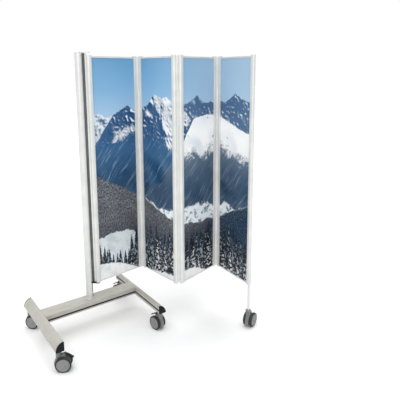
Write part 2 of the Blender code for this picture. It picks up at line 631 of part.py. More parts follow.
def build_section(index, axis):
    """One section's pieces under the empty on its fold axis. Returns where the next section's axis is."""
    left_side, right_side, middle, left_nose, right_nose, next_axis = section_plan(index)
    name = f"section_{index + 1}"
    even = range(0, KNUCKLE_COUNT, 2)
    odd = range(1, KNUCKLE_COUNT, 2)
    place(f"{name}_left_profile", profile_mesh(left_side, odd), SILVER, axis, (left_nose, middle, 0))
    # The right profile is the left one turned half a turn, so its fold side turns too.
    place(f"{name}_right_profile", profile_mesh(-right_side, even), SILVER, axis, (right_nose, middle, 0), pi)
    inner_left, inner_right = left_nose + PROFILE_BODY, right_nose - PROFILE_BODY
    rail_top = SECTION_TOP - TOP_RAIL_BELOW_PROFILE
    rail_length = inner_right - inner_left - 2 * TOUCH
    top_rail = rail_mesh(rail_length, TOP_RAIL_HEIGHT, top=True)
    place(f"{name}_top_rail", top_rail, SILVER, axis, (inner_left + TOUCH, middle, rail_top))
    bottom_rail = rail_mesh(rail_length, BOTTOM_RAIL_HEIGHT, top=False)
    rail_bottom = SECTION_BOTTOM + TOUCH
    place(f"{name}_bottom_rail", bottom_rail, SILVER, axis, (inner_left + TOUCH, middle, rail_bottom))
    half = SHEET_THICKNESS / 2
    left, right = inner_left - SHEET_INSERT, inner_right + SHEET_INSERT
    low = rail_bottom + BOTTOM_RAIL_HEIGHT - SHEET_INSERT
    high = rail_top - TOP_RAIL_HEIGHT + SHEET_INSERT
    sheet = prism([(left, -half), (right, -half), (right, half), (left, half)], low, high)
    place(f"{name}_sheet", sheet, PRINT, axis, (0, middle, 0))
    if right_side:
        low, high = knuckle_span(0)[0] - 0.003, knuckle_span(KNUCKLE_COUNT - 1)[1] + 0.003
        pin = cylinder(PIN_RADIUS, low, high, 10)
        place(f"fold_pin_{index + 1}", pin, STEEL, axis, (*next_axis, 0))
    return next_axis, (right_nose, middle)


def build_sections(root):
    """The four sections, each under the empty of the one before it."""
    parent, location, turned_so_far = root, FIRST_AXIS, 0.0
    for index, direction in enumerate(SECTION_DIRECTIONS):
        axis = empty(f"section_{index + 1}_axis", parent, (*location, 0), radians(direction) - turned_so_far)
        location, end = build_section(index, axis)
        parent, turned_so_far = axis, radians(direction)
    build_end_support(parent, end)


def build_end_support(section_axis, end):
    """The rod under the last profile and the twin-wheel caster at its foot."""
    foot = END_CASTER_HEIGHT - TOUCH - END_SOCKET_DEPTH + 0.001
    rod = cylinder(END_STEM_RADIUS, foot, SECTION_BOTTOM - TOUCH, 16)
    plug = cylinder(PIVOT_RADIUS, SECTION_BOTTOM - 0.001, SECTION_BOTTOM + PIVOT_LENGTH, 16)
    place("end_stem", combined(rod, joined=[plug]), SILVER, section_axis, (*end, 0))
    swivel = empty("end_caster_swivel_axis", section_axis, (*end, 0), radians(END_CASTER_DIRECTION) + pi)
    place("end_caster_housing", housing_mesh(END_CASTER_HEIGHT, own_stem=False), PLASTIC_GREY, swivel)
    build_wheels("end_caster", swivel, wheel_mesh())


def footprint_middle():
    """The middle of the whole screen's bounding box, seen from above."""
    bpy.context.view_layer.update()
    graph = bpy.context.evaluated_depsgraph_get()
    points = []
    for thing in bpy.context.scene.objects:
        if thing.type == "MESH":
            matrix = thing.matrix_world
            points += [matrix @ vertex.co for vertex in thing.evaluated_get(graph).data.vertices]
    middle = [(min(p[i] for p in points) + max(p[i] for p in points)) / 2 for i in (0, 1)]
    return middle


def main():
    for thing in list(bpy.data.objects):
        bpy.data.objects.remove(thing)
    root = empty("screen")
    stems = build_base(root)
    build_pole(root)
    build_casters(root, stems)
    build_sections(root)
    x, y = footprint_middle()
    root.location = (-x, -y, 0)


main()
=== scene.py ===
"""A folding picture screen on a wheeled stand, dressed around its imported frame.

The stand is an H of two legs and a crossbar on four braked casters. It carries a pole, and
the pole carries four hinged sections that share one printed mountain view. The last section
rolls on a caster of its own. Everything is in metres, +Z up, with the floor at z = 0.
"""

import json
import logging
import math
from dataclasses import dataclass, field
from enum import Enum
from typing import Iterable, Sequence

import bmesh
import bpy
import numpy as np
from mathutils import Matrix, Vector


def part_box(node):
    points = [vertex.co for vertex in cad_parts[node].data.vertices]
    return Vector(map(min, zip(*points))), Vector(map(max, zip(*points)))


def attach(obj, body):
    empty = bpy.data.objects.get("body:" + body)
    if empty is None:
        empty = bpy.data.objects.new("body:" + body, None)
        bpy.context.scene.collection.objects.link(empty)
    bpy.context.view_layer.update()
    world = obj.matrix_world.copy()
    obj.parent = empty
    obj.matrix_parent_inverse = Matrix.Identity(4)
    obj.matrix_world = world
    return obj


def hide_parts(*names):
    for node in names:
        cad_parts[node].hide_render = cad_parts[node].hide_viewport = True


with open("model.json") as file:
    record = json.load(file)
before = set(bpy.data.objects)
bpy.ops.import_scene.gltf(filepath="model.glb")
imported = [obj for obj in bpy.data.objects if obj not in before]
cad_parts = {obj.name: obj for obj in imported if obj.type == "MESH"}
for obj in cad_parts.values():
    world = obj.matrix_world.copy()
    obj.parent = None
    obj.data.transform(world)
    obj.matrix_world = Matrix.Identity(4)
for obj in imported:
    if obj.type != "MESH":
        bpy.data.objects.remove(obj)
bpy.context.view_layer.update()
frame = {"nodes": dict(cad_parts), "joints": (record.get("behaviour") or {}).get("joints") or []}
LOG = logging.getLogger("screen")

Array = np.ndarray
Colour = tuple[float, float, float, float]
Line = Sequence[Sequence[float]]
Socket = bpy.types.NodeSocket
Sockets = dict[str, Socket]
TOUCH = 0.0003  # the gap between pieces that touch
WELD = 1e-7  # points closer than this are one
THIN_RIM = 0.0002  # the rim radius of strips, webs and other thin things
SHARP_TURN = 32.0  # edges that turn by more than this many degrees stay sharp


class Slot(Enum):
    """The record's material slots."""

    FRAME = "frame_grey"
    PROFILE = "profile_silver"
    PLASTIC = "black_plastic"
    RUBBER = "black_rubber"
    CASTER = "caster_grey"
    WHEEL = "wheel_grey"
    PRINT = "print"
    STEEL = "bright_steel"


class Side(Enum):
    """The left or the right of the stand, by the sign of X."""

    LEFT = -1
    RIGHT = 1


def tone(red: float, green: float, blue: float) -> Colour:
    """Turns a display colour into the linear colour that shaders take.

    Args:
        red: the red value, from 0 to 255.
        green: the green value.
        blue: the blue value.

    Returns:
        Linear red, green and blue, and an alpha of 1.
    """
    share = np.array([red, green, blue], float) / 255
    linear = np.where(share <= 0.04045, share / 12.92, ((share + 0.055) / 1.055) ** 2.4)
    return (float(linear[0]), float(linear[1]), float(linear[2]), 1.0)


# ------------------------------------------------------------------ outlines and surfaces
def arc(centre: Sequence[float], radius: float, start: float, end: float, count: int) -> Array:
    """Points of an arc: the centre plus the radius times the cosine and sine of even angles.

    Args:
        centre: the arc's centre.
        radius: its radius.
        start: the first angle, in degrees.
        end: the last angle.
        count: how many points, both ends included.

    Returns:
        An array of count rows, x and y.
    """
    angle = np.radians(np.linspace(start, end, count))
    return np.stack([centre[0] + radius * np.cos(angle), centre[1] + radius * np.sin(angle)], 1)


def anticlockwise(outline: Array) -> Array:
    """Turns an outline round if its signed area, by the shoelace sum, is negative.

    Args:
        outline: the outline.

    Returns:
        The outline, anticlockwise.
    """
    x, y = outline.T
    area = np.sum(x * np.roll(y, -1) - np.roll(x, -1) * y)
    return outline if area > 0 else outline[::-1]


def rounded(corners: Line, radii: Sequence[float], count: int = 5) -> Array:
    """Rounds the corners of a polygon.

    Each corner gives way to a quadratic curve. It starts one radius before the corner, leans
    on the corner itself, and ends one radius after it.

    Args:
        corners: the polygon's corners.
        radii: how far each corner's curve reaches along its sides. 0 keeps the corner sharp.
        count: points on each curve.

    Returns:
        The rounded outline.
    """
    points, reach = np.array(corners, float), np.array(radii, float)[:, None]
    before, after = np.roll(points, 1, 0) - points, np.roll(points, -1, 0) - points
    before /= np.linalg.norm(before, axis=1, keepdims=True)
    after /= np.linalg.norm(after, axis=1, keepdims=True)
    share = np.linspace(0, 1, count)[None, :, None]
    first, last = (points + before * reach)[:, None], (points + after * reach)[:, None]
    curve = first * (1 - share) ** 2 + points[:, None] * 2 * share * (1 - share) + last * share**2
    keep = np.ones((len(points), count), bool)
    keep[reach[:, 0] == 0, 1:] = False
    return curve[keep]


def inset(outline: Array, depth: float) -> Array:
    """Moves an anticlockwise outline inwards.

    Each point moves along the mean of its two sides' normals, by the depth over the cosine of
    half the turn, so that the sides stay parallel.

    Args:
        outline: the outline.
        depth: how far it moves.

    Returns:
        The smaller outline.
    """
    along = np.roll(outline, -1, 0) - outline
    along /= np.maximum(np.linalg.norm(along, axis=1, keepdims=True), 1e-12)
    normal = np.stack([-along[:, 1], along[:, 0]], 1)
    mean = normal + np.roll(normal, 1, 0)
    mean /= np.maximum(np.linalg.norm(mean, axis=1, keepdims=True), 1e-9)
    lean = np.clip(np.sum(mean * normal, 1, keepdims=True), 0.5, 1)
    return outline + mean * depth / lean


@dataclass
class Solid:
    """One or more closed surfaces: their points, and their faces as lists of point numbers."""

    points: Array
    faces: list[list[int]]

    def __add__(self, other: "Solid") -> "Solid":
        """Puts two solids into one."""
        shifted = [[number + len(self.points) for number in face] for face in other.faces]
        return Solid(np.concatenate([self.points, other.points]), self.faces + shifted)

    def moved(self, matrix: Array) -> "Solid":
        """Applies a 4 by 4 matrix to every point."""
        return Solid(self.points @ matrix[:3, :3].T + matrix[:3, 3], self.faces)

    def raised(self, x: float = 0.0, y: float = 0.0, z: float = 0.0) -> "Solid":
        """Shifts the solid."""
        return Solid(self.points + np.array([x, y, z]), self.faces)


def skin(rings: Array) -> Solid:
    """Joins rings of points into a tube and closes its two ends.

    Point j of ring i is joined to point j + 1 of the same ring and to point j of the next.

    Args:
        rings: an array of rings by points by 3.

    Returns:
        The closed tube.
    """
    count, size, _ = rings.shape
    i, j = np.meshgrid(np.arange(count - 1), np.arange(size), indexing="ij")
    k = (j + 1) % size
    quads = np.stack([i * size + j, i * size + k, (i + 1) * size + k, (i + 1) * size + j], -1)
    ends = [list(range(size))[::-1], list(range((count - 1) * size, count * size))]
    return Solid(rings.reshape(-1, 3), quads.reshape(-1, 4).tolist() + ends)


def extruded(outline: Array, low: float, high: float, edge: float = 0.0004, steps: int = 3) -> Solid:
    """Carries an outline in X and Y along Z, with both rims rounded.

    Near each end the outline draws in by the edge radius times one less the sine of a quarter
    turn's angle, while its height follows one less the cosine.

    Args:
        outline: the closed outline.
        low: where it starts.
        high: where it ends.
        edge: the rims' radius.
        steps: rings in each rounded rim.

    Returns:
        The bar.
    """
    outline = anticlockwise(outline)
    angle = np.linspace(0, np.pi / 2, steps + 1)
    draw, rise = edge * (1 - np.sin(angle)), edge * (1 - np.cos(angle))
    depths = np.concatenate([draw, draw[::-1]])
    heights = np.concatenate([low + rise, (high - rise)[::-1]])
    rings = [np.column_stack([inset(outline, d), np.full(len(outline), h)])
             for d, h in zip(depths, heights)]
    return skin(np.stack(rings))


def turned(profile: Line, count: int = 64, closed: bool = False) -> Solid:
    """Turns a profile of radius and height about Z.

    Args:
        profile: the points. Ends near the axis are closed by a small flat face.
        count: points round the axis.
        closed: whether the profile runs back to its start, as a tyre's does.

    Returns:
        The turned solid.
    """
    line = np.array(profile, float)
    angle = np.linspace(0, 2 * np.pi, count, endpoint=False)
    radius, height = line[:, :1], line[:, 1:]
    height = np.broadcast_to(height, (len(line), count))
    rings = np.stack([radius * np.cos(angle), radius * np.sin(angle), height], -1)
    if not closed:
        return skin(rings)
    size = len(line)
    i, j = np.meshgrid(np.arange(size), np.arange(count), indexing="ij")
    n, k = (i + 1) % size, (j + 1) % count
    quads = np.stack([i * count + j, i * count + k, n * count + k, n * count + j], -1)
    return Solid(rings.reshape(-1, 3), quads.reshape(-1, 4).tolist())


def smooth_line(points: Line, count: int) -> Array:
    """Runs a Catmull-Rom curve through points.

    Between two points the curve is the cubic whose slope at each of them is half the step
    between that point's neighbours.

    Args:
        points: the points.
        count: steps between two of them.

    Returns:
        The curve's points.
    """
    line = np.array(points, float)
    padded = np.concatenate([2 * line[:1] - line[1:2], line, 2 * line[-1:] - line[-2:-1]])
    a, b, c, d = padded[:-3, None], padded[1:-2, None], padded[2:-1, None], padded[3:, None]
    t = np.linspace(0, 1, count, endpoint=False)[None, :, None]
    curve = 0.5 * (2 * b + (c - a) * t + (2 * a - 5 * b + 4 * c - d) * t**2
                   + (3 * b - a - 3 * c + d) * t**3)
    return np.concatenate([curve.reshape(-1, 2), line[-1:]])


def frame_matrix(origin: Sequence[float], x_axis: Sequence[float], y_axis: Sequence[float]) -> Array:
    """The 4 by 4 matrix of a frame. Its Z is the cross product of its X and its Y.

    Args:
        origin: the frame's origin.
        x_axis: its X.
        y_axis: its Y.

    Returns:
        The matrix.
    """
    matrix = np.eye(4)
    x, y = np.array(x_axis, float), np.array(y_axis, float)
    matrix[:3, 0], matrix[:3, 1], matrix[:3, 2], matrix[:3, 3] = x, y, np.cross(x, y), origin
    return matrix


def on_bearing(x: float, y: float, bearing: float) -> Array:
    """A frame standing at x and y, turned by a bearing in radians."""
    cos, sin = math.cos(bearing), math.sin(bearing)
    return frame_matrix((x, y, 0), (cos, sin, 0), (-sin, cos, 0))


# An outline's X and Y become the object's X and Z, and its height runs along -Y.
SIDEWAYS = frame_matrix((0, 0, 0), (1, 0, 0), (0, 0, 1))
# They become Y and Z, and its height runs along X.
CROSSWISE = frame_matrix((0, 0, 0), (0, 1, 0), (0, 0, 1))


def across(outline: Array, half_width: float, edge: float, steps: int = 3) -> Solid:
    """An outline in X and Z, carried along Y from one side to the other."""
    return extruded(outline, -half_width, half_width, edge, steps).moved(SIDEWAYS)


# ------------------------------------------------------------------ shader graphs
class Graph:
    """Makes nodes in one node tree, sets their sockets and links them."""

    def __init__(self, tree: bpy.types.NodeTree) -> None:
        """Takes the tree to work in."""
        self.tree = tree

    def add(self, kind: str, inputs: dict | None = None, **settings: object) -> bpy.types.Node:
        """Adds a node.

        Args:
            kind: the node's type, without its ShaderNode prefix.
            inputs: values or sockets by input name or number.
            settings: the node's own settings.

        Returns:
            The node.
        """
        node = self.tree.nodes.new("ShaderNode" + kind)
        for key, value in settings.items():
            setattr(node, key, value)
        self.fill(node, inputs or {})
        return node

    def fill(self, node: bpy.types.Node, inputs: dict) -> None:
        """Gives a node's inputs their values or links.

        Args:
            node: the node.
            inputs: values or sockets by input name or number.
        """
        for key, value in inputs.items():
            if isinstance(value, Socket):
                self.tree.links.new(value, node.inputs[key])
            else:
                node.inputs[key].default_value = value

    def math(self, operation: str, *values: object, clamp: bool = False) -> Socket:
        """The result of a Math node."""
        inputs = dict(enumerate(values))
        return self.add("Math", inputs, operation=operation, use_clamp=clamp).outputs[0]

    def times(self, first: object, second: object) -> Socket:
        """The product of two values."""
        return self.math("MULTIPLY", first, second)

    def less(self, first: object, second: object) -> Socket:
        """The first value less the second."""
        return self.math("SUBTRACT", first, second)

    def scaled(self, value: object, factor: object, shift: object) -> Socket:
        """A value times a factor, plus a shift."""
        return self.math("MULTIPLY_ADD", value, factor, shift)

    def vector(self, operation: str, *values: object) -> Socket:
        """The vector result of a Vector Math node."""
        return self.add("VectorMath", dict(enumerate(values)), operation=operation).outputs[0]

    def mix(self, share: object, first: object, second: object) -> Socket:
        """Mixes two colours."""
        return self.add("Mix", {0: share, 6: first, 7: second}, data_type="RGBA").outputs[2]

    def between(self, value: object, low: float, high: float, to_low: float = 0.0,
                to_high: float = 1.0) -> Socket:
        """Maps a value smoothly from one range to another, and holds it there outside."""
        inputs = {0: value, 1: low, 2: high, 3: to_low, 4: to_high}
        return self.add("MapRange", inputs, interpolation_type="SMOOTHSTEP").outputs[0]

    def fade(self, value: object, low: float, high: float, first: object, second: object) -> Socket:
        """Fades from one colour to another as a value goes from low to high."""
        return self.mix(self.between(value, low, high), first, second)

    def noise(self, place: object, scale: object, detail: float = 2.0, roughness: float = 0.5,
              **settings: object) -> Socket:
        """A noise value from 0 to 1."""
        inputs = {"Vector": place, "Scale": scale, "Detail": detail, "Roughness": roughness}
        return self.add("TexNoise", inputs, **settings).outputs[0]

    def ramp(self, share: object, stops: Sequence[tuple[float, Colour]]) -> Socket:
        """A colour ramp.

        Args:
            share: where on the ramp, from 0 to 1.
            stops: its stops, each a place and a colour.

        Returns:
            The colour there.
        """
        node = self.add("ValToRGB", {0: share})
        band = node.color_ramp.elements
        for number, (place, colour) in enumerate(stops):
            stop = band[number] if number < 2 else band.new(place)
            stop.position, stop.color = place, colour
        return node.outputs[0]

    def curve(self, value: object, points: Line, sharp: bool) -> Socket:
        """A value read from a drawn line.

        Args:
            value: where on the line, from 0 to 1.
            points: the line's points.
            sharp: whether the line has corners, as a ridge has, or is soft, as a hill is.

        Returns:
            The line's height there.
        """
        node = self.add("FloatCurve", {1: value})
        line = node.mapping.curves[0]
        line.points[0].location, line.points[-1].location = points[0], points[-1]
        for x, y in points[1:-1]:
            line.points.new(x, y)
        for point in line.points:
            point.handle_type = "VECTOR" if sharp else "AUTO"
        node.mapping.update()
        return node.outputs[0]

    def parts(self, place: object) -> tuple[Socket, ...]:
        """A vector's three numbers."""
        return tuple(self.add("SeparateXYZ", {0: place}).outputs)

    def join(self, x: object, y: object, z: object = 0.0) -> Socket:
        """A vector made of three numbers."""
        return self.add("CombineXYZ", {0: x, 1: y, 2: z}).outputs[0]

    def group(self, effect: "Effect", inputs: dict) -> Sockets:
        """Places a shared effect in this tree.

        Args:
            effect: the effect.
            inputs: values or sockets by input name.

        Returns:
            The effect's outputs by name.
        """
        node = self.add("Group", inputs, node_tree=effect.tree())
        return {socket.name: socket for socket in node.outputs}


class Effect:
    """A shader node group that several materials share. It is built once, when it is first used."""

    name = ""
    takes: dict[str, tuple[str, object]] = {}
    gives: dict[str, str] = {}

    def tree(self) -> bpy.types.NodeTree:
        """The group, built if it isn't there yet.

        Returns:
            The node group.
        """
        known = bpy.data.node_groups.get(self.name)
        if known:
            return known
        tree = bpy.data.node_groups.new(self.name, "ShaderNodeTree")
        for name, (kind, value) in self.takes.items():
            socket = tree.interface.new_socket(name, in_out="INPUT", socket_type="NodeSocket" + kind)
            if value is not None:
                socket.default_value = value
        for name, kind in self.gives.items():
            tree.interface.new_socket(name, in_out="OUTPUT", socket_type="NodeSocket" + kind)
        source = tree.nodes.new("NodeGroupInput")
        target = tree.nodes.new("NodeGroupOutput")
        results = self.build(Graph(tree), {socket.name: socket for socket in source.outputs})
        for name, socket in results.items():
            tree.links.new(socket, target.inputs[name])
        return tree

    def build(self, graph: Graph, given: Sockets) -> Sockets:
        """Makes the group's nodes. Each effect has its own."""
        raise NotImplementedError


class Relief(Effect):
    """Light on broken ground.

    The ground's height is ridged noise. The light is a half, plus the strength times how much
    higher the ground is here than a short step away towards the light.
    """

    name = "relief light"
    takes = {"Place": ("Vector", None), "Scale": ("Float", 8.0), "Step": ("Float", 0.004),
             "Strength": ("Float", 2.0)}
    gives = {"Light": "Float"}

    def build(self, graph: Graph, given: Sockets) -> Sockets:
        """Samples the ground twice and compares.

        Args:
            graph: the group's nodes.
            given: the group's inputs.

        Returns:
            The group's outputs.
        """
        reach = graph.join(given["Step"], given["Step"])
        ground = [graph.noise(graph.vector("MULTIPLY", place, graph.join(*[given["Scale"]] * 3)),
                              1.0, 7.0, 0.55, noise_type="RIDGED_MULTIFRACTAL", normalize=True)
                  for place in (given["Place"], graph.vector("ADD", given["Place"], reach))]
        light = graph.math("MULTIPLY_ADD", graph.less(*ground), given["Strength"], 0.5, clamp=True)
        return {"Light": light}


class Firs(Effect):
    """A row of fir trees, as a mask and a shade.

    The row is cut into cells, one tree each. Below its own tip a tree's half-width grows with
    the depth, and a sawtooth of the depth draws its tiers of branches. Blotches of noise inside
    the tree are snow, a little more of it on one side.
    """

    name = "fir row"
    takes = {"Across": ("Float", 0.0), "Height": ("Float", 0.0), "Line": ("Float", 0.2),
             "Count": ("Float", 30.0), "Seed": ("Float", 0.0), "Spread": ("Float", 0.05),
             "Slope": ("Float", 9.0), "Tiers": ("Float", 60.0)}
    gives = {"Mask": "Float", "Snow": "Float"}

    def build(self, graph: Graph, given: Sockets) -> Sockets:
        """Finds the cell, the tree's tip and the distance from its stem.

        Args:
            graph: the group's nodes.
            given: the group's inputs.

        Returns:
            The group's outputs.
        """
        spot = graph.join(given["Across"], given["Height"], given["Seed"])
        rough = graph.noise(spot, 110.0, 3.0, 0.6)
        blotch = graph.noise(graph.vector("MULTIPLY", spot, (1.0, 1.1, 1.0)), 84.0, 3.0, 0.62)
        place = graph.scaled(given["Across"], given["Count"], given["Seed"])
        cell = graph.math("FLOOR", place)
        chance = graph.add("TexWhiteNoise", {"W": cell}, noise_dimensions="1D").outputs[0]
        tip = graph.scaled(chance, given["Spread"], given["Line"])
        depth = graph.less(tip, given["Height"])
        phase = graph.scaled(depth, given["Tiers"], graph.times(chance, 7.0))
        tier = graph.math("FRACT", graph.scaled(rough, 1.6, phase))
        width = graph.times(graph.times(depth, given["Slope"]), graph.scaled(tier, 0.40, 0.66))
        width = graph.scaled(graph.less(rough, 0.5), 0.30, width)
        middle = graph.scaled(chance, 0.3, 0.35)
        lean = graph.less(graph.math("FRACT", place), middle)
        side = graph.math("ABSOLUTE", lean)
        inside = graph.between(graph.less(width, side), 0.0, 0.06)
        mask = graph.times(inside, graph.between(depth, 0.0, 0.002))
        lit = graph.scaled(graph.between(lean, -0.3, 0.35), 0.05, blotch)
        lit = graph.scaled(tier, -0.05, lit)
        core = graph.between(graph.less(width, side), 0.02, 0.24)
        return {"Mask": mask, "Snow": graph.times(core, graph.between(lit, 0.49, 0.58))}


class Alpine(Effect):
    """The printed winter view: sky, two mountain ranges, a wooded shoulder, a valley and firs.

    It reads metres across and up from the view's lower left corner. Each layer is the part of
    the view below a drawn line, laid over the layer behind it.
    """

    name = "alpine view"
    takes = {"Place": ("Vector", None), "Width": ("Float", 1.192), "Height": ("Float", 1.205)}
    gives = {"Colour": "Color"}

    FIR_WIDTH = 0.20  # a fir's half-width over its height, in widths and heights of the view
    FAR = [(0, .742), (.1, .752), (.2, .757), (.3, .74), (1.9, .80), (2.08, .80), (2.16, .797),
           (2.47, .835), (2.62, .80), (2.75, .795), (3.0, .812), (3.2, .80), (3.5, .838),
           (3.8, .81), (4, .80)]
    MASSIF = [(0, .60), (.2, .66), (.35, .71), (.5, .755), (.75, .785), (.88, .765), (1.0, .765),
              (1.22, .79), (1.44, .838), (1.6, .82), (1.75, .828), (1.9, .805), (2.05, .79),
              (2.2, .755), (2.4, .70), (2.8, .62), (3.2, .56), (4, .5)]
    SNOW_TOP = [(0, 0), (.36, .62), (.5, .665), (.7, .70), (1.0, .71), (1.04, .62), (1.3, .70),
                (1.38, .86), (2.4, .86), (2.45, 0), (4, 0)]
    SNOW_FLOOR = [(0, .7), (.36, .64), (.6, .645), (.85, .67), (1.0, .68), (1.1, .75), (1.38, .83),
                  (1.5, .77), (1.62, .73), (1.72, .65), (1.8, .61), (2.0, .61), (2.1, .70),
                  (2.4, .74), (4, .9)]
    SHOULDER = [(0, .3), (1.6, .45), (2.0, .60), (2.15, .66), (2.38, .735), (2.75, .748),
                (3.0, .738), (3.3, .715), (3.6, .69), (4, .665)]
    SHOULDER_SNOW = [(0, .6), (2.0, .60), (2.2, .60), (2.4, .615), (2.6, .585), (2.8, .60),
                     (3.0, .62), (3.3, .60), (3.6, .58), (4, .595)]
    VALLEY = [(0, .30), (.8, .36), (1.0, .355), (1.5, .335), (2.0, .34), (2.4, .35), (2.7, .345),
              (3.0, .315), (3.25, .34), (3.5, .32), (3.75, .345), (4, .36)]
    WOOD = [(0, .50), (.5, .435), (1.0, .36), (1.5, .315), (2.0, .285), (2.5, .26), (3.0, .25),
            (3.5, .22), (4, .2)]
    NAVY = [(0, 0), (2.6, .18), (2.8, .235), (3.0, .25), (3.3, .29), (3.7, .335), (4, .365)]
    CLEARING = [(0, .20), (.15, .205), (.5, .215), (.8, .20), (1.0, .12), (1.2, 0), (4, 0)]
    GROUND = [(0, .082), (.3, .075), (.6, .05), (.9, .01), (1.0, 0), (1.3, .01), (1.6, .022),
              (1.95, .035), (2.05, .046), (2.3, .052), (2.6, .022), (2.8, 0), (4, .012)]
    BACK_FIRS = [(0, .16), (.16, .14), (.3, .09), (.66, .08), (.82, .16), (1.0, .18), (1.5, .20),
                 (2.0, .20), (2.6, .19), (3.2, .20), (3.6, .19), (4, .18)]
    FRONT_FIRS = [(0, .15), (.18, .11), (.3, .04), (.7, .03), (.85, .10), (1.0, .12), (1.5, .15),
                  (2.1, .13), (2.8, .16), (3.4, .13), (4, .13)]

    def ribs(self, graph: Graph, place: object) -> Socket:
        """Thin bright ribs that run down the slopes: noise squeezed across a slanting line.

        Args:
            graph: the group's nodes.
            place: metres across and up the view.

        Returns:
            The ribs' mask.
        """
        slant = graph.add("Mapping", {"Vector": place, "Rotation": (0.0, 0.0, math.radians(-48.0))})
        wander = graph.times(graph.noise(place, 5.0, 2.0, 0.5), 0.06)
        bent = graph.vector("ADD", slant.outputs[0], graph.join(0.0, wander))
        squeezed = graph.vector("MULTIPLY", bent, (6.0, 60.0, 1.0))
        return graph.between(graph.noise(squeezed, 1.0, 4.0, 0.62), 0.52, 0.72)

    def build(self, graph: Graph, given: Sockets) -> Sockets:
        """Lays the layers over each other, from the sky to the foreground.

        Args:
            graph: the group's nodes.
            given: the group's inputs.

        Returns:
            The group's outputs.
        """
        x, _, z = graph.parts(given["Place"])
        share = graph.math("DIVIDE", x, given["Width"])
        height = graph.math("DIVIDE", z, given["Height"])
        place = graph.join(x, z)
        coarse = graph.less(graph.noise(place, 14.0, 5.0, 0.62), 0.5)
        fine = graph.less(graph.noise(place, 60.0, 5.0, 0.65), 0.5)

        def line(points: Line, sharp: bool = True, rough: float = 0.0,
                 soft: float = 0.004) -> Socket:
            """The mask of what lies below a drawn line.

            Args:
                points: the line, 4 wide and 1 high.
                sharp: whether it has corners.
                rough: how far noise lifts it.
                soft: the height over which the mask fades.

            Returns:
                The mask.
            """
            top = graph.curve(share, [(a / 4, b) for a, b in points], sharp)
            if rough:
                top = graph.scaled(coarse, rough, top)
                top = graph.scaled(fine, rough * 0.8, top)
            return graph.between(graph.less(top, height), 0.0, soft)

        def relief(scale: float, step: float, strength: float) -> Socket:
            """Light on ground of this scale, step and strength."""
            return graph.group(RELIEF, {"Place": place, "Scale": scale, "Step": step,
                                        "Strength": strength})["Light"]

        def firs(view: object, points: Line, count: float, seed: float,
                 dark: object, pale: object, spread: float, tiers: float) -> Socket:
            """A row of firs over the view.

            Args:
                view: the view so far.
                points: the line of the lowest tips.
                count: trees across the view.
                seed: what sets this row apart.
                dark: the branches' colour.
                pale: the snow's colour.
                spread: how far the tips rise above the line.
                tiers: tiers of branches over the view's height.

            Returns:
                The view with the row.
            """
            top = graph.curve(share, [(a / 4, b) for a, b in points], False)
            row = graph.group(FIRS, {"Across": share, "Height": height, "Line": top, "Count": count,
                                     "Seed": seed, "Spread": spread, "Slope": self.FIR_WIDTH * count,
                                     "Tiers": tiers})
            return graph.mix(row["Mask"], view, graph.mix(row["Snow"], dark, pale))

        sky = graph.ramp(height, [(0.72, tone(172, 203, 226)), (1.0, tone(103, 158, 198)),
                                  (0.86, tone(128, 176, 213))])
        pale_side = graph.times(graph.between(share, 0.25, 0.85), 0.62)
        view = graph.mix(pale_side, sky, tone(186, 207, 223))

        light = relief(13.0, 0.0035, 3.4)
        slopes = relief(7.0, 0.005, 3.0)
        broken = relief(38.0, 0.0014, 3.4)
        both = graph.scaled(broken, 0.5, graph.times(light, 0.5))

        near = graph.between(share, 0.08, 0.45, 0.0, 0.13)
        bare = graph.less(both, near)
        distant = graph.fade(bare, 0.38, 0.56, tone(74, 106, 142), tone(222, 230, 236))
        view = graph.mix(line(self.FAR, rough=0.022), view, distant)

        rock = graph.fade(both, 0.34, 0.76, tone(26, 72, 118), tone(84, 122, 158))
        ribs = self.ribs(graph, place)
        dale = graph.fade(height, 0.66, 0.40, tone(46, 96, 140), tone(10, 54, 88))
        dale = graph.mix(graph.between(slopes, 0.35, 0.75, 0.0, 0.40), dale, tone(84, 126, 162))
        dale = graph.mix(graph.times(ribs, graph.between(height, 0.34, 0.52, 0.25, 0.75)), dale,
                         tone(140, 166, 188))
        rock = graph.fade(height, 0.68, 0.58, rock, dale)
        snow_light = graph.fade(both, 0.40, 0.60, tone(166, 178, 190), tone(240, 242, 245))
        band = graph.times(line(self.SNOW_TOP, rough=0.10, soft=0.02),
                          graph.less(1.0, line(self.SNOW_FLOOR, rough=0.10, soft=0.02)))
        crest = graph.times(graph.between(both, 0.52, 0.62), graph.between(height, 0.60, 0.74))
        lying = graph.math("MAXIMUM", graph.times(band, graph.between(both, 0.34, 0.46)), crest)
        massif = graph.mix(lying, rock, snow_light)
        view = graph.mix(line(self.MASSIF, rough=0.026), view, massif)

        wooded = graph.fade(height, 0.60, 0.40, tone(98, 118, 138), tone(36, 64, 92))
        wooded = graph.mix(graph.between(slopes, 0.30, 0.70, 0.0, 0.6), wooded, tone(84, 108, 132))
        wooded = graph.mix(graph.times(ribs, 0.5), wooded, tone(150, 168, 184))
        above = graph.less(1.0, line(self.SHOULDER_SNOW, False, 0.14, 0.05))
        lit = graph.times(above, graph.between(both, 0.26, 0.38))
        drift = graph.fade(slopes, 0.25, 0.6, tone(222, 229, 235), tone(252, 252, 252))
        shoulder = graph.mix(lit, wooded, drift)
        view = graph.mix(line(self.SHOULDER, rough=0.018), view, shoulder)

        patches = graph.between(graph.noise(place, 26.0, 4.0, 0.6), 0.50, 0.60)
        valley = graph.mix(patches, tone(236, 243, 245), tone(120, 140, 156))
        view = graph.mix(line(self.VALLEY, False, 0.05, 0.012), view, valley)

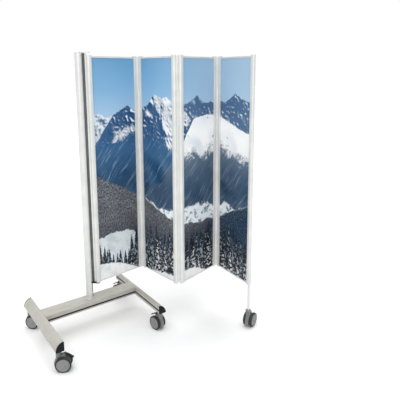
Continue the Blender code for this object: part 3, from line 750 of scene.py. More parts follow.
        canopy = graph.noise(graph.vector("MULTIPLY", place, (150.0, 80.0, 1.0)), 1.0, 4.0, 0.65)
        wood = graph.fade(canopy, 0.36, 0.66, tone(44, 54, 68), tone(136, 138, 144))
        wood = graph.mix(graph.between(coarse, -0.05, 0.12, 0.0, 0.5), wood, tone(78, 76, 74))
        wood = graph.mix(graph.between(height, 0.30, 0.20, 0.0, 0.5), wood, tone(40, 50, 64))
        view = graph.mix(line(self.WOOD, False, 0.035, 0.006), view, wood)
        forest = graph.fade(canopy, 0.42, 0.66, tone(4, 34, 58), tone(70, 94, 118))
        view = graph.mix(line(self.NAVY, False, 0.03, 0.006), view, forest)
        glade = graph.fade(coarse, -0.05, 0.10, tone(218, 226, 229), tone(196, 206, 212))
        view = graph.mix(line(self.CLEARING, False, 0.03, 0.006), view, glade)

        view = firs(view, self.BACK_FIRS, 46.0, 3.3, tone(16, 36, 58), tone(84, 104, 124), 0.06, 46.0)
        view = firs(view, self.BACK_FIRS, 31.0, 11.6, tone(12, 22, 34), tone(150, 162, 174), 0.06, 36.0)
        cold = graph.between(share, 0.045, 0.060)
        dark = graph.mix(cold, tone(36, 35, 22), tone(10, 14, 20))
        pale = graph.mix(cold, tone(132, 122, 84), tone(220, 225, 230))
        view = firs(view, self.FRONT_FIRS, 18.0, 7.1, dark, pale, 0.10, 26.0)
        ground = graph.fade(coarse, -0.08, 0.12, tone(240, 241, 241), tone(218, 223, 228))
        view = graph.mix(line(self.GROUND, False, 0.02, 0.006), view, ground)
        return {"Colour": view}


class Grain(Effect):
    """The skin of a moulded or painted surface: a fine height, and a slow drift of tone."""

    name = "surface grain"
    takes = {"Place": ("Vector", None), "Scale": ("Float", 900.0), "Drift": ("Float", 14.0)}
    gives = {"Height": "Float", "Tone": "Float"}

    def build(self, graph: Graph, given: Sockets) -> Sockets:
        """Makes two noises, one fine and one slow.

        Args:
            graph: the group's nodes.
            given: the group's inputs.

        Returns:
            The group's outputs.
        """
        fine = graph.noise(given["Place"], given["Scale"], 2.0, 0.55)
        slow = graph.noise(given["Place"], given["Drift"], 4.0, 0.6)
        return {"Height": fine, "Tone": graph.between(slow, 0.35, 0.65)}


class Drawn(Effect):
    """Fine lines along a drawn or extruded bar: noise squeezed across the bar and long along it."""

    name = "drawn lines"
    takes = {"Place": ("Vector", None), "Squeeze": ("Vector", (500.0, 500.0, 2.0))}
    gives = {"Lines": "Float"}

    def build(self, graph: Graph, given: Sockets) -> Sockets:
        """One squeezed noise."""
        place = graph.vector("MULTIPLY", given["Place"], given["Squeeze"])
        return {"Lines": graph.between(graph.noise(place, 1.0, 3.0, 0.6), 0.3, 0.7)}


class Edges(Effect):
    """Where an edge is handled: one less the cosine between the surface and its softened normal."""

    name = "edge wear"
    takes = {"Place": ("Vector", None)}
    gives = {"Mask": "Float"}

    def build(self, graph: Graph, given: Sockets) -> Sockets:
        """Compares the two normals and breaks the mask with noise.

        Args:
            graph: the group's nodes.
            given: the group's inputs.

        Returns:
            The group's outputs.
        """
        soft = graph.add("Bevel", {"Radius": 0.0012}, samples=4).outputs[0]
        true = graph.add("NewGeometry").outputs["Normal"]
        same = graph.add("VectorMath", {0: soft, 1: true}, operation="DOT_PRODUCT").outputs[1]
        broken = graph.between(graph.noise(given["Place"], 160.0, 3.0, 0.6), 0.40, 0.60)
        return {"Mask": graph.times(graph.between(same, 0.995, 0.90), broken)}


class Dust(Effect):
    """Dust that settles on what faces up and low down, broken by noise."""

    name = "settled dust"
    takes = {"Place": ("Vector", None)}
    gives = {"Mask": "Float"}

    def build(self, graph: Graph, given: Sockets) -> Sockets:
        """Multiplies how far up the surface faces by noise.

        Args:
            graph: the group's nodes.
            given: the group's inputs.

        Returns:
            The group's outputs.
        """
        _, _, up = graph.parts(graph.add("NewGeometry").outputs["Normal"])
        flat = graph.between(up, 0.2, 1.0)
        cloud = graph.between(graph.noise(given["Place"], 35.0, 5.0, 0.65), 0.40, 0.70)
        return {"Mask": graph.times(flat, cloud)}


RELIEF, FIRS, ALPINE = Relief(), Firs(), Alpine()
GRAIN, DRAWN, EDGES, DUST = Grain(), Drawn(), Edges(), Dust()


# ------------------------------------------------------------------ finishes
def new_material(name: str) -> tuple[bpy.types.Material, Graph, bpy.types.Node, Socket]:
    """Starts a material.

    Args:
        name: its name.

    Returns:
        The material, its graph, its shader, and the place that patterns read.
    """
    made = bpy.data.materials.new(name)
    made.use_nodes = True
    graph = Graph(made.node_tree)
    return made, graph, made.node_tree.nodes["Principled BSDF"], graph.add("TexCoord").outputs["Object"]


class Run(Enum):
    """The way a bar's drawn lines run, as the squeeze of its noise on each axis."""

    NONE = (1.0, 1.0, 1.0)
    ALONG_X = (2.0, 900.0, 900.0)
    ALONG_Y = (900.0, 2.0, 900.0)
    UPRIGHT = (900.0, 900.0, 2.0)


@dataclass(frozen=True)
class Finish:
    """A solid finish: two close tones, a worn tone on the edges, grain, drawn lines and dust.

    Attributes:
        name: the finish's name.
        tone: its main colour.
        drift: the colour that it drifts to.
        worn: its colour on handled edges.
        roughness: how matt it is.
        metallic: how far it is bare metal.
        grain: the height of its grain, in metres.
        grain_scale: the grain's noise scale.
        run: the way its drawn lines run.
        dust: how much dust shows, from 0 to 1.
        coat: the weight of a clear coat.
        specular: the strength of its plain gloss.
    """

    name: str
    tone: Colour
    drift: Colour
    worn: Colour
    roughness: float
    metallic: float = 0.0
    grain: float = 0.00004
    grain_scale: float = 900.0
    run: Run = Run.NONE
    dust: float = 0.15
    coat: float = 0.0
    specular: float = 0.5

    def material(self) -> bpy.types.Material:
        """The finish's material, made when it is first asked for.

        Returns:
            The material.
        """
        known = bpy.data.materials.get(self.name)
        if known:
            return known
        made, graph, shader, place = new_material(self.name)
        grain = graph.group(GRAIN, {"Place": place, "Scale": self.grain_scale})
        colour = graph.mix(grain["Tone"], self.tone, self.drift)
        height = grain["Height"]
        rough = graph.scaled(grain["Tone"], 0.10, self.roughness - 0.05)
        if self.run is not Run.NONE:
            lines = graph.group(DRAWN, {"Place": place, "Squeeze": self.run.value})["Lines"]
            colour = graph.mix(graph.times(lines, 0.35), colour, self.drift)
            rough = graph.scaled(lines, 0.08, rough)
            height = graph.scaled(lines, 0.8, height)
        worn = graph.group(EDGES, {"Place": place})["Mask"]
        colour = graph.mix(graph.times(worn, 0.7), colour, self.worn)
        dust = graph.times(graph.group(DUST, {"Place": place})["Mask"], self.dust)
        colour = graph.mix(dust, colour, tone(196, 192, 184))
        rough = graph.math("ADD", rough, graph.times(dust, 0.3), clamp=True)
        bump = graph.add("Bump", {"Strength": 0.35, "Distance": self.grain, "Height": height})
        graph.fill(shader, {"Base Color": colour, "Roughness": rough, "Normal": bump.outputs[0],
                            "Metallic": self.metallic, "Coat Weight": self.coat,
                            "Specular IOR Level": self.specular})
        return made


@dataclass(frozen=True)
class Print:
    """A sheet printed with its part of the view.

    Attributes:
        name: the material's name.
        origin: the sheet's left end, x and y.
        bearing: the sheet's direction, in radians.
        offset: how far across the whole view this sheet starts.
        bottom: the height of the view's lower edge.
    """

    name: str
    origin: tuple[float, float]
    bearing: float
    offset: float
    bottom: float

    def material(self) -> bpy.types.Material:
        """Turns the place into metres across and up the view, and prints it under a satin film.

        Returns:
            The material.
        """
        made, graph, shader, place = new_material(self.name)
        cos, sin = math.cos(self.bearing), math.sin(self.bearing)
        start = cos * self.origin[0] + sin * self.origin[1]
        side = -sin * self.origin[0] + cos * self.origin[1]
        mapping = {"Vector": place, "Location": (self.offset - start, -side, -self.bottom),
                   "Rotation": (0.0, 0.0, -self.bearing)}
        spot = graph.add("Mapping", mapping).outputs[0]
        view = graph.group(ALPINE, {"Place": spot})["Colour"]
        grain = graph.group(GRAIN, {"Place": place, "Scale": 1400.0, "Drift": 6.0})
        film = graph.times(grain["Tone"], 0.015)
        colour = graph.mix(film, view, tone(255, 255, 255))
        rough = graph.scaled(grain["Tone"], 0.08, 0.44)
        bump = graph.add("Bump", {"Strength": 0.25, "Distance": 0.00003, "Height": grain["Height"]})
        graph.fill(shader, {"Base Color": colour, "Roughness": rough, "Normal": bump.outputs[0],
                            "Specular IOR Level": 0.18})
        return made


PAINT_TONES = (tone(180, 178, 171), tone(171, 169, 161), tone(204, 202, 196), 0.42)
BEAM_PAINT = Finish("warm grey paint across", *PAINT_TONES, run=Run.ALONG_X, coat=0.15)
LEG_PAINT = Finish("warm grey paint along", *PAINT_TONES, run=Run.ALONG_Y, coat=0.15)
SILVER = Finish("satin silver",
    tone(226, 227, 224), tone(216, 218, 216), tone(242, 242, 240), 0.34,
    metallic=0.25, run=Run.UPRIGHT, dust=0.05)
SILVER_FLAT = Finish("satin silver cast",
    tone(224, 225, 222), tone(214, 216, 214), tone(240, 240, 238), 0.36,
    metallic=0.25, dust=0.08)
PLASTIC = Finish("black moulded plastic",
    tone(13, 14, 14), tone(19, 20, 20), tone(46, 46, 45), 0.56,
    grain=0.00008, grain_scale=1300.0, dust=0.02, specular=0.22)
RUBBER = Finish("black rubber",
    tone(24, 24, 25), tone(32, 32, 32), tone(56, 56, 55), 0.72,
    grain=0.00006, grain_scale=1600.0, dust=0.03, specular=0.25)
SEAL = Finish("grey brush seal",
    tone(92, 95, 98), tone(78, 81, 84), tone(120, 122, 124), 0.68,
    grain=0.00008, grain_scale=1600.0, run=Run.UPRIGHT, dust=0.05)
CASTER = Finish("grey caster plastic",
    tone(124, 125, 126), tone(112, 113, 114), tone(160, 160, 160), 0.46,
    grain=0.00007, grain_scale=1300.0, dust=0.12)
WHEEL = Finish("grey wheel disc",
    tone(138, 138, 139), tone(127, 127, 128), tone(170, 170, 170), 0.44,
    grain=0.00006, grain_scale=1300.0, dust=0.10)
TREAD = Finish("dark wheel tread",
    tone(40, 40, 41), tone(50, 50, 50), tone(78, 77, 76), 0.62,
    grain=0.00006, grain_scale=1600.0, dust=0.08, specular=0.3)
STEEL = Finish("bright steel",
    tone(196, 197, 199), tone(176, 177, 179), tone(226, 226, 228), 0.26,
    metallic=1.0, run=Run.UPRIGHT, dust=0.04)


# ------------------------------------------------------------------ making pieces
def put(name: str, data: bpy.types.ID, place: Sequence[float] = (0.0, 0.0, 0.0)) -> bpy.types.Object:
    """Adds an object to the scene.

    Args:
        name: its name.
        data: its mesh, light or camera.
        place: where it stands.

    Returns:
        The object.
    """
    made = bpy.data.objects.new(name, data)
    bpy.context.scene.collection.objects.link(made)
    made.location = place
    return made


def finish_piece(name: str, solid: Solid, body: str, finish: Finish,
                 stands_for: Iterable[str] = ()) -> bpy.types.Object:
    """Makes a piece of the screen and puts it on its body.

    Args:
        name: the piece's name.
        solid: its shape, in place.
        body: the body that it rides on.
        finish: its finish.
        stands_for: the nodes that it replaces.

    Returns:
        The object.
    """
    mesh = bpy.data.meshes.new(name)
    mesh.from_pydata(solid.points.tolist(), [], solid.faces)
    work = bmesh.new()
    work.from_mesh(mesh)
    bmesh.ops.remove_doubles(work, verts=work.verts, dist=WELD)
    bmesh.ops.recalc_face_normals(work, faces=work.faces)
    work.to_mesh(mesh)
    work.free()
    mesh.shade_smooth()
    mesh.set_sharp_from_angle(angle=math.radians(SHARP_TURN))
    mesh.materials.append(finish.material())
    piece = put(name, mesh)
    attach(piece, body)
    if stands_for:
        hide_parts(*stands_for)
    LOG.info("%s: %d faces, on %s", name, len(mesh.polygons), body)
    return piece


def dress(node: str, material: bpy.types.Material) -> None:
    """Gives a node that keeps its shape its material.

    Args:
        node: the node.
        material: the material.
    """
    mesh = frame["nodes"][node].data
    mesh.materials.clear()
    mesh.materials.append(material)
    LOG.info("%s: dressed in %s", node, material.name)


def disc(radius: float, low: float, high: float, edge: float, count: int = 48,
         centre: Sequence[float] = (0.0, 0.0)) -> Solid:
    """A round bar with rounded rims."""
    return extruded(arc(centre, radius, 0, 360, count + 1)[:-1], low, high, edge)


def box_bar(node: str, along: str, radius: float) -> Solid:
    """A bar that fills a node's box, with its long edges rounded.

    Args:
        node: the node whose box it fills.
        along: the axis that it runs along, x or y.
        radius: of its long edges.

    Returns:
        The bar.
    """
    return bar(*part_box(node), along, radius)


def oblong(left: float, low: float, right: float, high: float, radius: float = 0.0) -> Array:
    """A rectangle with rounded corners, from its lower left to its upper right."""
    corners = [(left, low), (right, low), (right, high), (left, high)]
    return rounded(corners, [radius] * 4) if radius else np.array(corners)


def bar(low: Sequence[float], high: Sequence[float], along: str, radius: float) -> Solid:
    """A bar between two corners, with its long edges rounded.

    Args:
        low: its lowest corner.
        high: its highest corner.
        along: the axis that it runs along, x or y.
        radius: of its long edges.

    Returns:
        The bar.
    """
    if along == "x":
        outline = oblong(low[1], low[2], high[1], high[2], radius)
        return extruded(outline, low[0], high[0], THIN_RIM).moved(CROSSWISE)
    outline = oblong(low[0], low[2], high[0], high[2], radius)
    return extruded(outline, -high[1], -low[1], THIN_RIM).moved(SIDEWAYS)


# ------------------------------------------------------------------ the base
@dataclass
class Base:
    """The wheeled H: two legs with black end caps, a crossbar, and the dark strips in their grooves."""

    leg_width: float = 0.040
    leg_height: float = 0.045
    groove_depth: float = 0.0025
    groove_above: float = 0.0135  # from the legs' underside to the groove
    groove_height: float = 0.009
    cap_thickness: float = 0.008
    cap_edge: float = 0.0022
    beam_edge: float = 0.003
    groove_edge: float = 0.0007
    curve_ends: tuple[float, float] = (9.0, 81.0)  # the ellipse's first and last angle, in degrees

    def leg_outline(self, grooved: bool) -> Array:
        """A leg's outline: a flat inner side and underside, and a quarter ellipse outside.

        Args:
            grooved: whether the inner side has the strip's groove.

        Returns:
            The outline, with x outwards from the inner side and y up from the underside.
        """
        angle = np.radians(np.linspace(*self.curve_ends, 22))
        curve = np.stack([self.leg_width * np.cos(angle), self.leg_height * np.sin(angle)], 1)
        corners = [(0, 0), (self.leg_width, 0), *curve.tolist(), (0, self.leg_height)]
        radii = [0.0012, 0.0024] + [0.0] * len(curve) + [0.0018]
        if grooved:
            low, high = self.groove_above, self.groove_above + self.groove_height
            corners += [(0, high), (self.groove_depth, high), (self.groove_depth, low), (0, low)]
            radii += [self.groove_edge, 0.0, 0.0, self.groove_edge]
        return rounded(corners, radii)

    def legs(self) -> None:
        """Both legs, their end caps and their strips."""
        for side in Side:
            word = side.name.lower()
            low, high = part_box(f"{word}_leg")
            inner = high.x if side is Side.LEFT else low.x
            place = np.eye(4)
            place[0, 0], place[:3, 3] = side.value, (inner, 0, low.z)
            shape = extruded(self.leg_outline(True), -high.y, -low.y, 0.0004).moved(SIDEWAYS)
            finish_piece(f"{word}_leg_finished", shape.moved(place), "trolley", LEG_PAINT,
                         [f"{word}_leg"])
            for end, start in (("front", low.y - TOUCH - self.cap_thickness), ("rear", high.y + TOUCH)):
                cap = extruded(self.leg_outline(False), -start - self.cap_thickness, -start,
                               self.cap_edge, 5).moved(SIDEWAYS)
                finish_piece(f"{end}_{word}_cap_finished", cap.moved(place), "trolley",
                             PLASTIC, [f"{end}_{word}_cap"])
            strip = f"{word}_leg_strip"
            finish_piece(f"{strip}_finished", box_bar(strip, "y", self.groove_edge), "trolley",
                         RUBBER, [strip])
            corner_low, corner_high = (np.array(corner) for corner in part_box(strip))
            corner_low[1], corner_high[1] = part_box("crossbar")[1].y + TOUCH, high.y
            behind = bar(corner_low, corner_high, "y", self.groove_edge)
            finish_piece(f"{word}_leg_rear_strip", behind, "trolley", RUBBER)

    def crossbar(self) -> None:
        """The crossbar, grooved along its front, and its strip."""
        low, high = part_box("crossbar")
        groove_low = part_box("crossbar_strip")[0].z - TOUCH
        groove_high, floor = groove_low + self.groove_height, low.y + self.groove_depth
        corners = [*oblong(low.y, low.z, high.y, high.z), (low.y, groove_high), (floor, groove_high),
                   (floor, groove_low), (low.y, groove_low)]
        radii = [self.beam_edge] * 4 + [self.groove_edge, 0, 0, self.groove_edge]
        outline = rounded(corners, radii, 6)
        shape = extruded(outline, low.x, high.x, 0.0003).moved(CROSSWISE)
        finish_piece("crossbar_finished", shape, "trolley", BEAM_PAINT, ["crossbar"])
        strip = box_bar("crossbar_strip", "x", self.groove_edge)
        finish_piece("crossbar_strip_finished", strip, "trolley", RUBBER,
                     ["crossbar_strip"])

    def build(self) -> None:
        """The whole base."""
        self.legs()
        self.crossbar()


# ------------------------------------------------------------------ the pole
@dataclass
class Pole:
    """The pole on the crossbar, with its slot, collar, cap, brackets and seal."""

    radius: float = 0.019
    slot_half: float = 0.003
    slot_floor: float = 0.017
    to_first: float = 0.0527  # from the pole's axis to the first section's
    arm_half: float = 0.0095
    arm_thickness: float = 0.005
    arm_start: float = 0.004
    arm_lift: float = 0.0007  # from the pole's top to the arm's underside
    cap_thickness: float = 0.0025
    collar_radius: float = 0.0225
    collar_rim: float = 0.0022
    screw_sink: float = 0.0004
    bearing: float = math.atan2(-0.0385, 0.036)
    blade_root: float = 0.0008  # how deep the seal's blade starts inside the pole's skin
    bead_from: float = 0.0325
    bead_to: float = 0.0415
    bead_half: float = 0.0012

    def place(self) -> Array:
        """The pole's frame, with X towards the first section's axis."""
        low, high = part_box("pole")
        return on_bearing((low.x + high.x) / 2, (low.y + high.y) / 2, self.bearing)

    def arm_end(self) -> Array:
        """The rounded end of a bracket's arm, about the first section's axis."""
        return arc((self.to_first, 0), self.arm_half, -90, 90, 18)

    def tube(self) -> Solid:
        """A round bar with a slot down the side that faces the sections.

        Returns:
            The tube.
        """
        low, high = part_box("pole")
        open_half = math.degrees(math.asin(self.slot_half / self.radius))
        skin_line = arc((0, 0), self.radius, open_half, 360 - open_half, 64)
        floor = [(self.slot_floor, -self.slot_half), (self.slot_floor, self.slot_half)]
        return extruded(np.concatenate([skin_line, floor]), low.z, high.z, 0.0005)

    def collar(self) -> Solid:
        """A ring with a soft upper rim.

        Returns:
            The ring.
        """
        low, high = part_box("pole_collar")
        inner, outer, soft = self.radius + TOUCH, self.collar_radius, self.collar_rim
        rim = arc((outer - soft, high.z - soft), soft, 0, 90, 6).tolist()
        return turned([(inner, low.z), (outer, low.z), *rim, (inner, high.z)], closed=True)

    def top_bracket(self) -> Solid:
        """The cap on the pole and the arm over the first profile.

        Returns:
            The cap and the arm.
        """
        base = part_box("pole")[1].z + TOUCH
        low = base + self.arm_lift
        start = [(self.arm_start, self.arm_half), (self.arm_start, -self.arm_half)]
        outline = np.concatenate([start, self.arm_end()])
        arm = extruded(outline, low, low + self.arm_thickness, 0.0009, 4)
        return disc(self.radius, base, base + self.cap_thickness, 0.0008, 64) + arm

    def bottom_bracket(self) -> Solid:
        """The arm below the first profile, hollowed to the pole.

        Returns:
            The arm.
        """
        low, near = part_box("pole_slot_strip")[1].z + TOUCH, self.radius + TOUCH
        spread = math.degrees(math.asin(self.arm_half / near))
        outline = np.concatenate([arc((0, 0), near, spread, -spread, 12), self.arm_end()])
        return extruded(outline, low, low + self.arm_thickness, 0.0007, 4)

    def screw(self) -> Solid:
        """The low round head of the pivot screw on the arm, with a round recess.

        Returns:
            The screw's head.
        """
        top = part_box("pole")[1].z + TOUCH + self.arm_lift + self.arm_thickness
        profile = [(0.0002, -self.screw_sink), (0.0046, -self.screw_sink), (0.0046, 0.0004),
                   (0.0040, 0.0009), (0.0022, 0.0011), (0.0020, 0.0009), (0.0019, -0.0002),
                   (0.0002, -0.0002)]
        return turned(profile, 24).raised(x=self.to_first, z=top)

    def seal(self, place: Array) -> None:
        """The brush seal that stands in the slot, and the bright bead along its outer edge.

        Args:
            place: the pole's frame.
        """
        low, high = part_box("pole_seal")
        half, deep, skin_deep = self.slot_half - TOUCH, self.slot_floor + TOUCH, self.radius - TOUCH
        root = oblong(deep, -half, skin_deep, half)
        inner, outer = self.radius - self.blade_root, self.bead_from - TOUCH
        blade = np.array([(inner, -0.0011), (outer, -0.0008), (outer, 0.0008), (inner, 0.0011)])
        brush = extruded(root, low.z, high.z, THIN_RIM) + extruded(blade, low.z, high.z, THIN_RIM)
        finish_piece("pole_seal_finished", brush.moved(place), "trolley", SEAL,
                     ["pole_seal"])
        half = self.bead_half
        outline = oblong(self.bead_from, -half, self.bead_to, half, half / 2)
        bead = extruded(outline, low.z, high.z, 0.0003)
        finish_piece("pole_seal_bead", bead.moved(place), "trolley", SILVER)

    def build(self) -> None:
        """The pole and all that is fixed to it."""
        place = self.place()
        rows = [("pole", self.tube(), Slot.PROFILE, SILVER),
                ("pole_collar", self.collar(), Slot.PROFILE, SILVER_FLAT),
                ("top_bracket", self.top_bracket(), Slot.PROFILE, SILVER_FLAT),
                ("bottom_bracket", self.bottom_bracket(), Slot.PLASTIC, PLASTIC)]
        for node, shape, slot, finish in rows:
            finish_piece(f"{node}_finished", shape.moved(place), "trolley", finish, [node])
        finish_piece("top_pivot_screw", self.screw().moved(place), "trolley", STEEL)
        dress("pole_slot_strip", RUBBER.material())
        self.seal(place)
        dress("pole_bolt", STEEL.material())


# ------------------------------------------------------------------ casters
@dataclass
class Caster:
    """A twin-wheel caster: a hooded body between two dished wheels, and on most a brake pedal.

    Its own frame stands on the floor under the swivel, with X from the axle to the swivel.
    """

    name: str
    braked: bool = True
    trail: float = 0.022
    wheel_radius: float = 0.0375
    wheel_inner: float = 0.0100
    wheel_outer: float = 0.0265
    tyre_inner: float = 0.0310
    body_radius: float = 0.0435
    body_rear: float = 0.0160
    body_half: float = 0.0094
    column_radius: float = 0.0130
    flange_radius: float = 0.0155
    flange_height: float = 0.006
    clear_of_tread: float = 0.0022
    stem_length: float = 0.022  # of a braked caster's stem, above its flange
    pin_at: tuple[float, float] = (-0.0080, 0.0477)  # the pedal's pin, from the axle
    pin_radius: float = 0.0012
    pin_half: float = 0.0072
    ear_radius: float = 0.003
    ear_half: float = 0.0015
    ear_apart: float = 0.0078
    ear_foot: float = 0.0019  # how deep the ears stand in the hood
    barrel_radius: float = 0.0035
    barrel_half: float = 0.0060
    tongue_start: float = 100.0  # degrees round the axle
    tongue_sweep: float = 50.0
    tongue_above: float = 0.0036  # from the tread to the tongue's start
    tongue_rise: float = 0.0049  # how much further its end is
    tongue_half_thickness: float = 0.0018
    grips: tuple[float, ...] = (128.0, 134.0, 140.0)  # the ridges across it, in degrees

    def place(self) -> Array:
        """The caster's frame at rest, from its swivel's and its axle's joints.

        Returns:
            The frame.
        """
        joints = {joint["name"]: np.array(joint["pos_m"], float) for joint in frame["joints"]}
        swivel = joints[f"{self.name}_swivel"]
        axle = joints[f"{self.name}_left_wheel_spin"]
        ahead = (swivel - axle)[:2]
        return on_bearing(swivel[0], swivel[1], math.atan2(ahead[1], ahead[0]))

    def about_axle(self, outline: Array) -> Array:
        """Shifts an outline drawn about the axle into the caster's frame."""
        return outline + np.array([-self.trail, self.wheel_radius])

    def rod(self, centre: Sequence[float], radius: float, half: float, edge: float,
            count: int) -> Solid:
        """A round rod across the caster, about a centre that is measured from the axle."""
        return across(self.about_axle(arc(centre, radius, 0, 360, count + 1)[:-1]), half, edge)

    def hood(self) -> Solid:
        """The body: one large and one small arc about the axle, joined by soft corners.

        Returns:
            The body.
        """
        front = arc((0, 0), self.body_radius, -30, 98, 24)
        rear = arc((0, 0), self.body_rear, 150, 300, 12)
        radii = np.zeros(len(front) + len(rear))
        radii[[0, len(front) - 1]] = 0.0022
        radii[[len(front), -1]] = 0.0018
        outline = rounded(np.concatenate([front, rear]), radii, 4)
        return across(self.about_axle(outline), self.body_half, 0.0026, 4)

    def column(self, top: float) -> Solid:
        """The round column under the swivel.

        Its wall stands on a cylinder about the axle, just clear of the treads: the foot's height
        is the axle's plus the root of that radius squared less the distance squared.

        Args:
            top: the height of the flange's top.

        Returns:
            The column.
        """
        angle = np.linspace(0, 2 * np.pi, 48, endpoint=False)
        x, y = self.column_radius * np.cos(angle), self.column_radius * np.sin(angle)
        clear = self.wheel_radius + self.clear_of_tread
        foot = self.wheel_radius + np.sqrt(clear**2 - (x + self.trail) ** 2)
        share = np.array([0.0, 0.03, 0.5, 1.0])[:, None]
        height = foot * (1 - share) + (top - self.flange_height * 0.6) * share
        draw = np.array([0.965, 1.0, 1.0, 1.0])[:, None]
        return skin(np.stack([x * draw, y * draw, height], -1))

    def flange(self, top: float) -> Solid:
        """The swivel's upper ring, with a groove round it.

        Args:
            top: the height of its top.

        Returns:
            The ring.
        """
        r, low = self.flange_radius, top - self.flange_height
        return turned([(0.0005, low), (r - 0.0008, low), (r, low + 0.0008), (r, low + 0.0024),
                       (r - 0.0008, low + 0.0028), (r - 0.0008, low + 0.0034), (r, low + 0.0038),
                       (r, top - 0.0006), (r - 0.0006, top), (0.0005, top)], 48)

    def lugs(self) -> Solid:
        """The two ears on the hood that hold the pedal's pin, and the pin.

        Returns:
            The ears and the pin.
        """
        x, foot, radius = self.pin_at[0], self.body_radius - self.ear_foot, self.ear_radius
        outline = [(x - radius, foot), (x + 3 * radius, foot), *arc(self.pin_at, radius, 0, 180, 12)]
        ear = across(self.about_axle(np.array(outline)), self.ear_half, 0.0004)
        pin = self.rod(self.pin_at, self.pin_radius, self.pin_half, THIN_RIM, 16)
        return ear.raised(y=self.ear_apart) + ear.raised(y=-self.ear_apart) + pin

    def wheel(self, side: int) -> tuple[Solid, Solid]:
        """A wheel's grey disc and its dark tyre.

        Both are turned profiles of radius and distance from the wheel's inner face.

        Args:
            side: 1 for the left wheel and -1 for the right one.

        Returns:
            The disc and the tyre.
        """
        width, rim, tread = self.wheel_outer - self.wheel_inner, self.tyre_inner, self.wheel_radius
        dish = [(0.0003, 0.0002), (0.0052, 0.0005), (0.0078, 0.0016), (0.0100, 0.0034),
                (0.0150, 0.0040), (0.0225, 0.0036), (0.0262, 0.0018), (0.0282, 0.0004),
                (rim - 0.0010, 0.0003), (rim, 0.0013)]  # radius, and depth below the outer face
        face = smooth_line([(radius, width - deep) for radius, deep in dish], 5)
        disc_line = [*face.tolist(), (rim, 0.0012), (rim - 0.001, 0.0004), (0.0003, 0.0004)]
        inner, tread = rim + 0.0002, tread - 0.0001
        crown = smooth_line([(tread - 0.0024, width - 0.0009), (tread - 0.0006, width - 0.0024),
                             (tread, width * 0.62), (tread, width * 0.38), (tread - 0.0006, 0.0020),
                             (tread - 0.0024, 0.0004)], 4)
        tyre_line = [(inner, width - 0.0006), *crown.tolist(), (inner, 0.0004)]
        place = frame_matrix((-self.trail, side * self.wheel_inner, self.wheel_radius), (1, 0, 0),
                             (0, 0, -side))
        return turned(disc_line, 56).moved(place), turned(tyre_line, 64, True).moved(place)

    def pedal(self) -> Solid:
        """The brake pedal: a barrel on the pin, and a tongue carried along an arc round the axle.

        The tongue's section is a rounded slab, its sine and cosine raised to a half. It widens
        along the way, its radius grows evenly, and its end turns outwards in a lip.

        Returns:
            The pedal.
        """
        share = np.linspace(0, 1, 30)[:, None]
        angle = np.radians(self.tongue_start + self.tongue_sweep * share)
        lip = np.clip((share - 0.86) / 0.14, 0, 1) ** 1.6
        start, thick = self.wheel_radius + self.tongue_above, self.tongue_half_thickness
        middle = start + self.tongue_rise * share + thick + 0.0050 * lip
        widen = np.clip((share - 0.20) / 0.18, 0, 1)
        half = 0.0057 + 0.0036 * widen**2 * (3 - 2 * widen) - 0.0016 * lip
        turn = np.linspace(0, 2 * np.pi, 24, endpoint=False)[None]
        sine, cosine = np.sin(turn), np.cos(turn)
        out = thick * (1 - 0.45 * lip) * np.sign(sine) * np.abs(sine) ** 0.5
        y = half * np.sign(cosine) * np.abs(cosine) ** 0.5
        x = (middle + out) * np.cos(angle) - self.trail
        z = (middle + out) * np.sin(angle) + self.wheel_radius
        tongue = skin(np.stack([x, np.broadcast_to(y, x.shape), z], -1))
        made = tongue + self.rod(self.pin_at, self.barrel_radius, self.barrel_half, 0.0006, 24)
        for degrees in self.grips:
            along = (degrees - self.tongue_start) / self.tongue_sweep
            radius, turned_by = start + self.tongue_rise * along + 2 * thick, math.radians(degrees)
            spot = (radius * math.cos(turned_by), radius * math.sin(turned_by))
            made += self.rod(spot, 0.0008, 0.0070, 0.0005, 12)
        return made

    def build(self) -> None:
        """The housing, both wheels and the pedal."""
        place, body = self.place(), self.name
        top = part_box(f"{body}_housing")[1].z - (self.stem_length if self.braked else 0.0)
        housing = self.hood() + self.column(top) + self.flange(top)
        if self.braked:
            housing += self.lugs()
        finish_piece(f"{body}_housing_finished", housing.moved(place), body, CASTER,
                     [f"{body}_housing"])
        for side, word in ((1, "left"), (-1, "right")):
            shape, tyre = self.wheel(side)
            wheel = f"{body}_{word}_wheel"
            finish_piece(f"{wheel}_disc", shape.moved(place), wheel, WHEEL, [wheel])
            finish_piece(f"{wheel}_tyre", tyre.moved(place), wheel, TREAD)
        if self.braked:
            finish_piece(f"{body}_pedal_finished", self.pedal().moved(place), f"{body}_pedal",
                         PLASTIC, [f"{body}_pedal"])


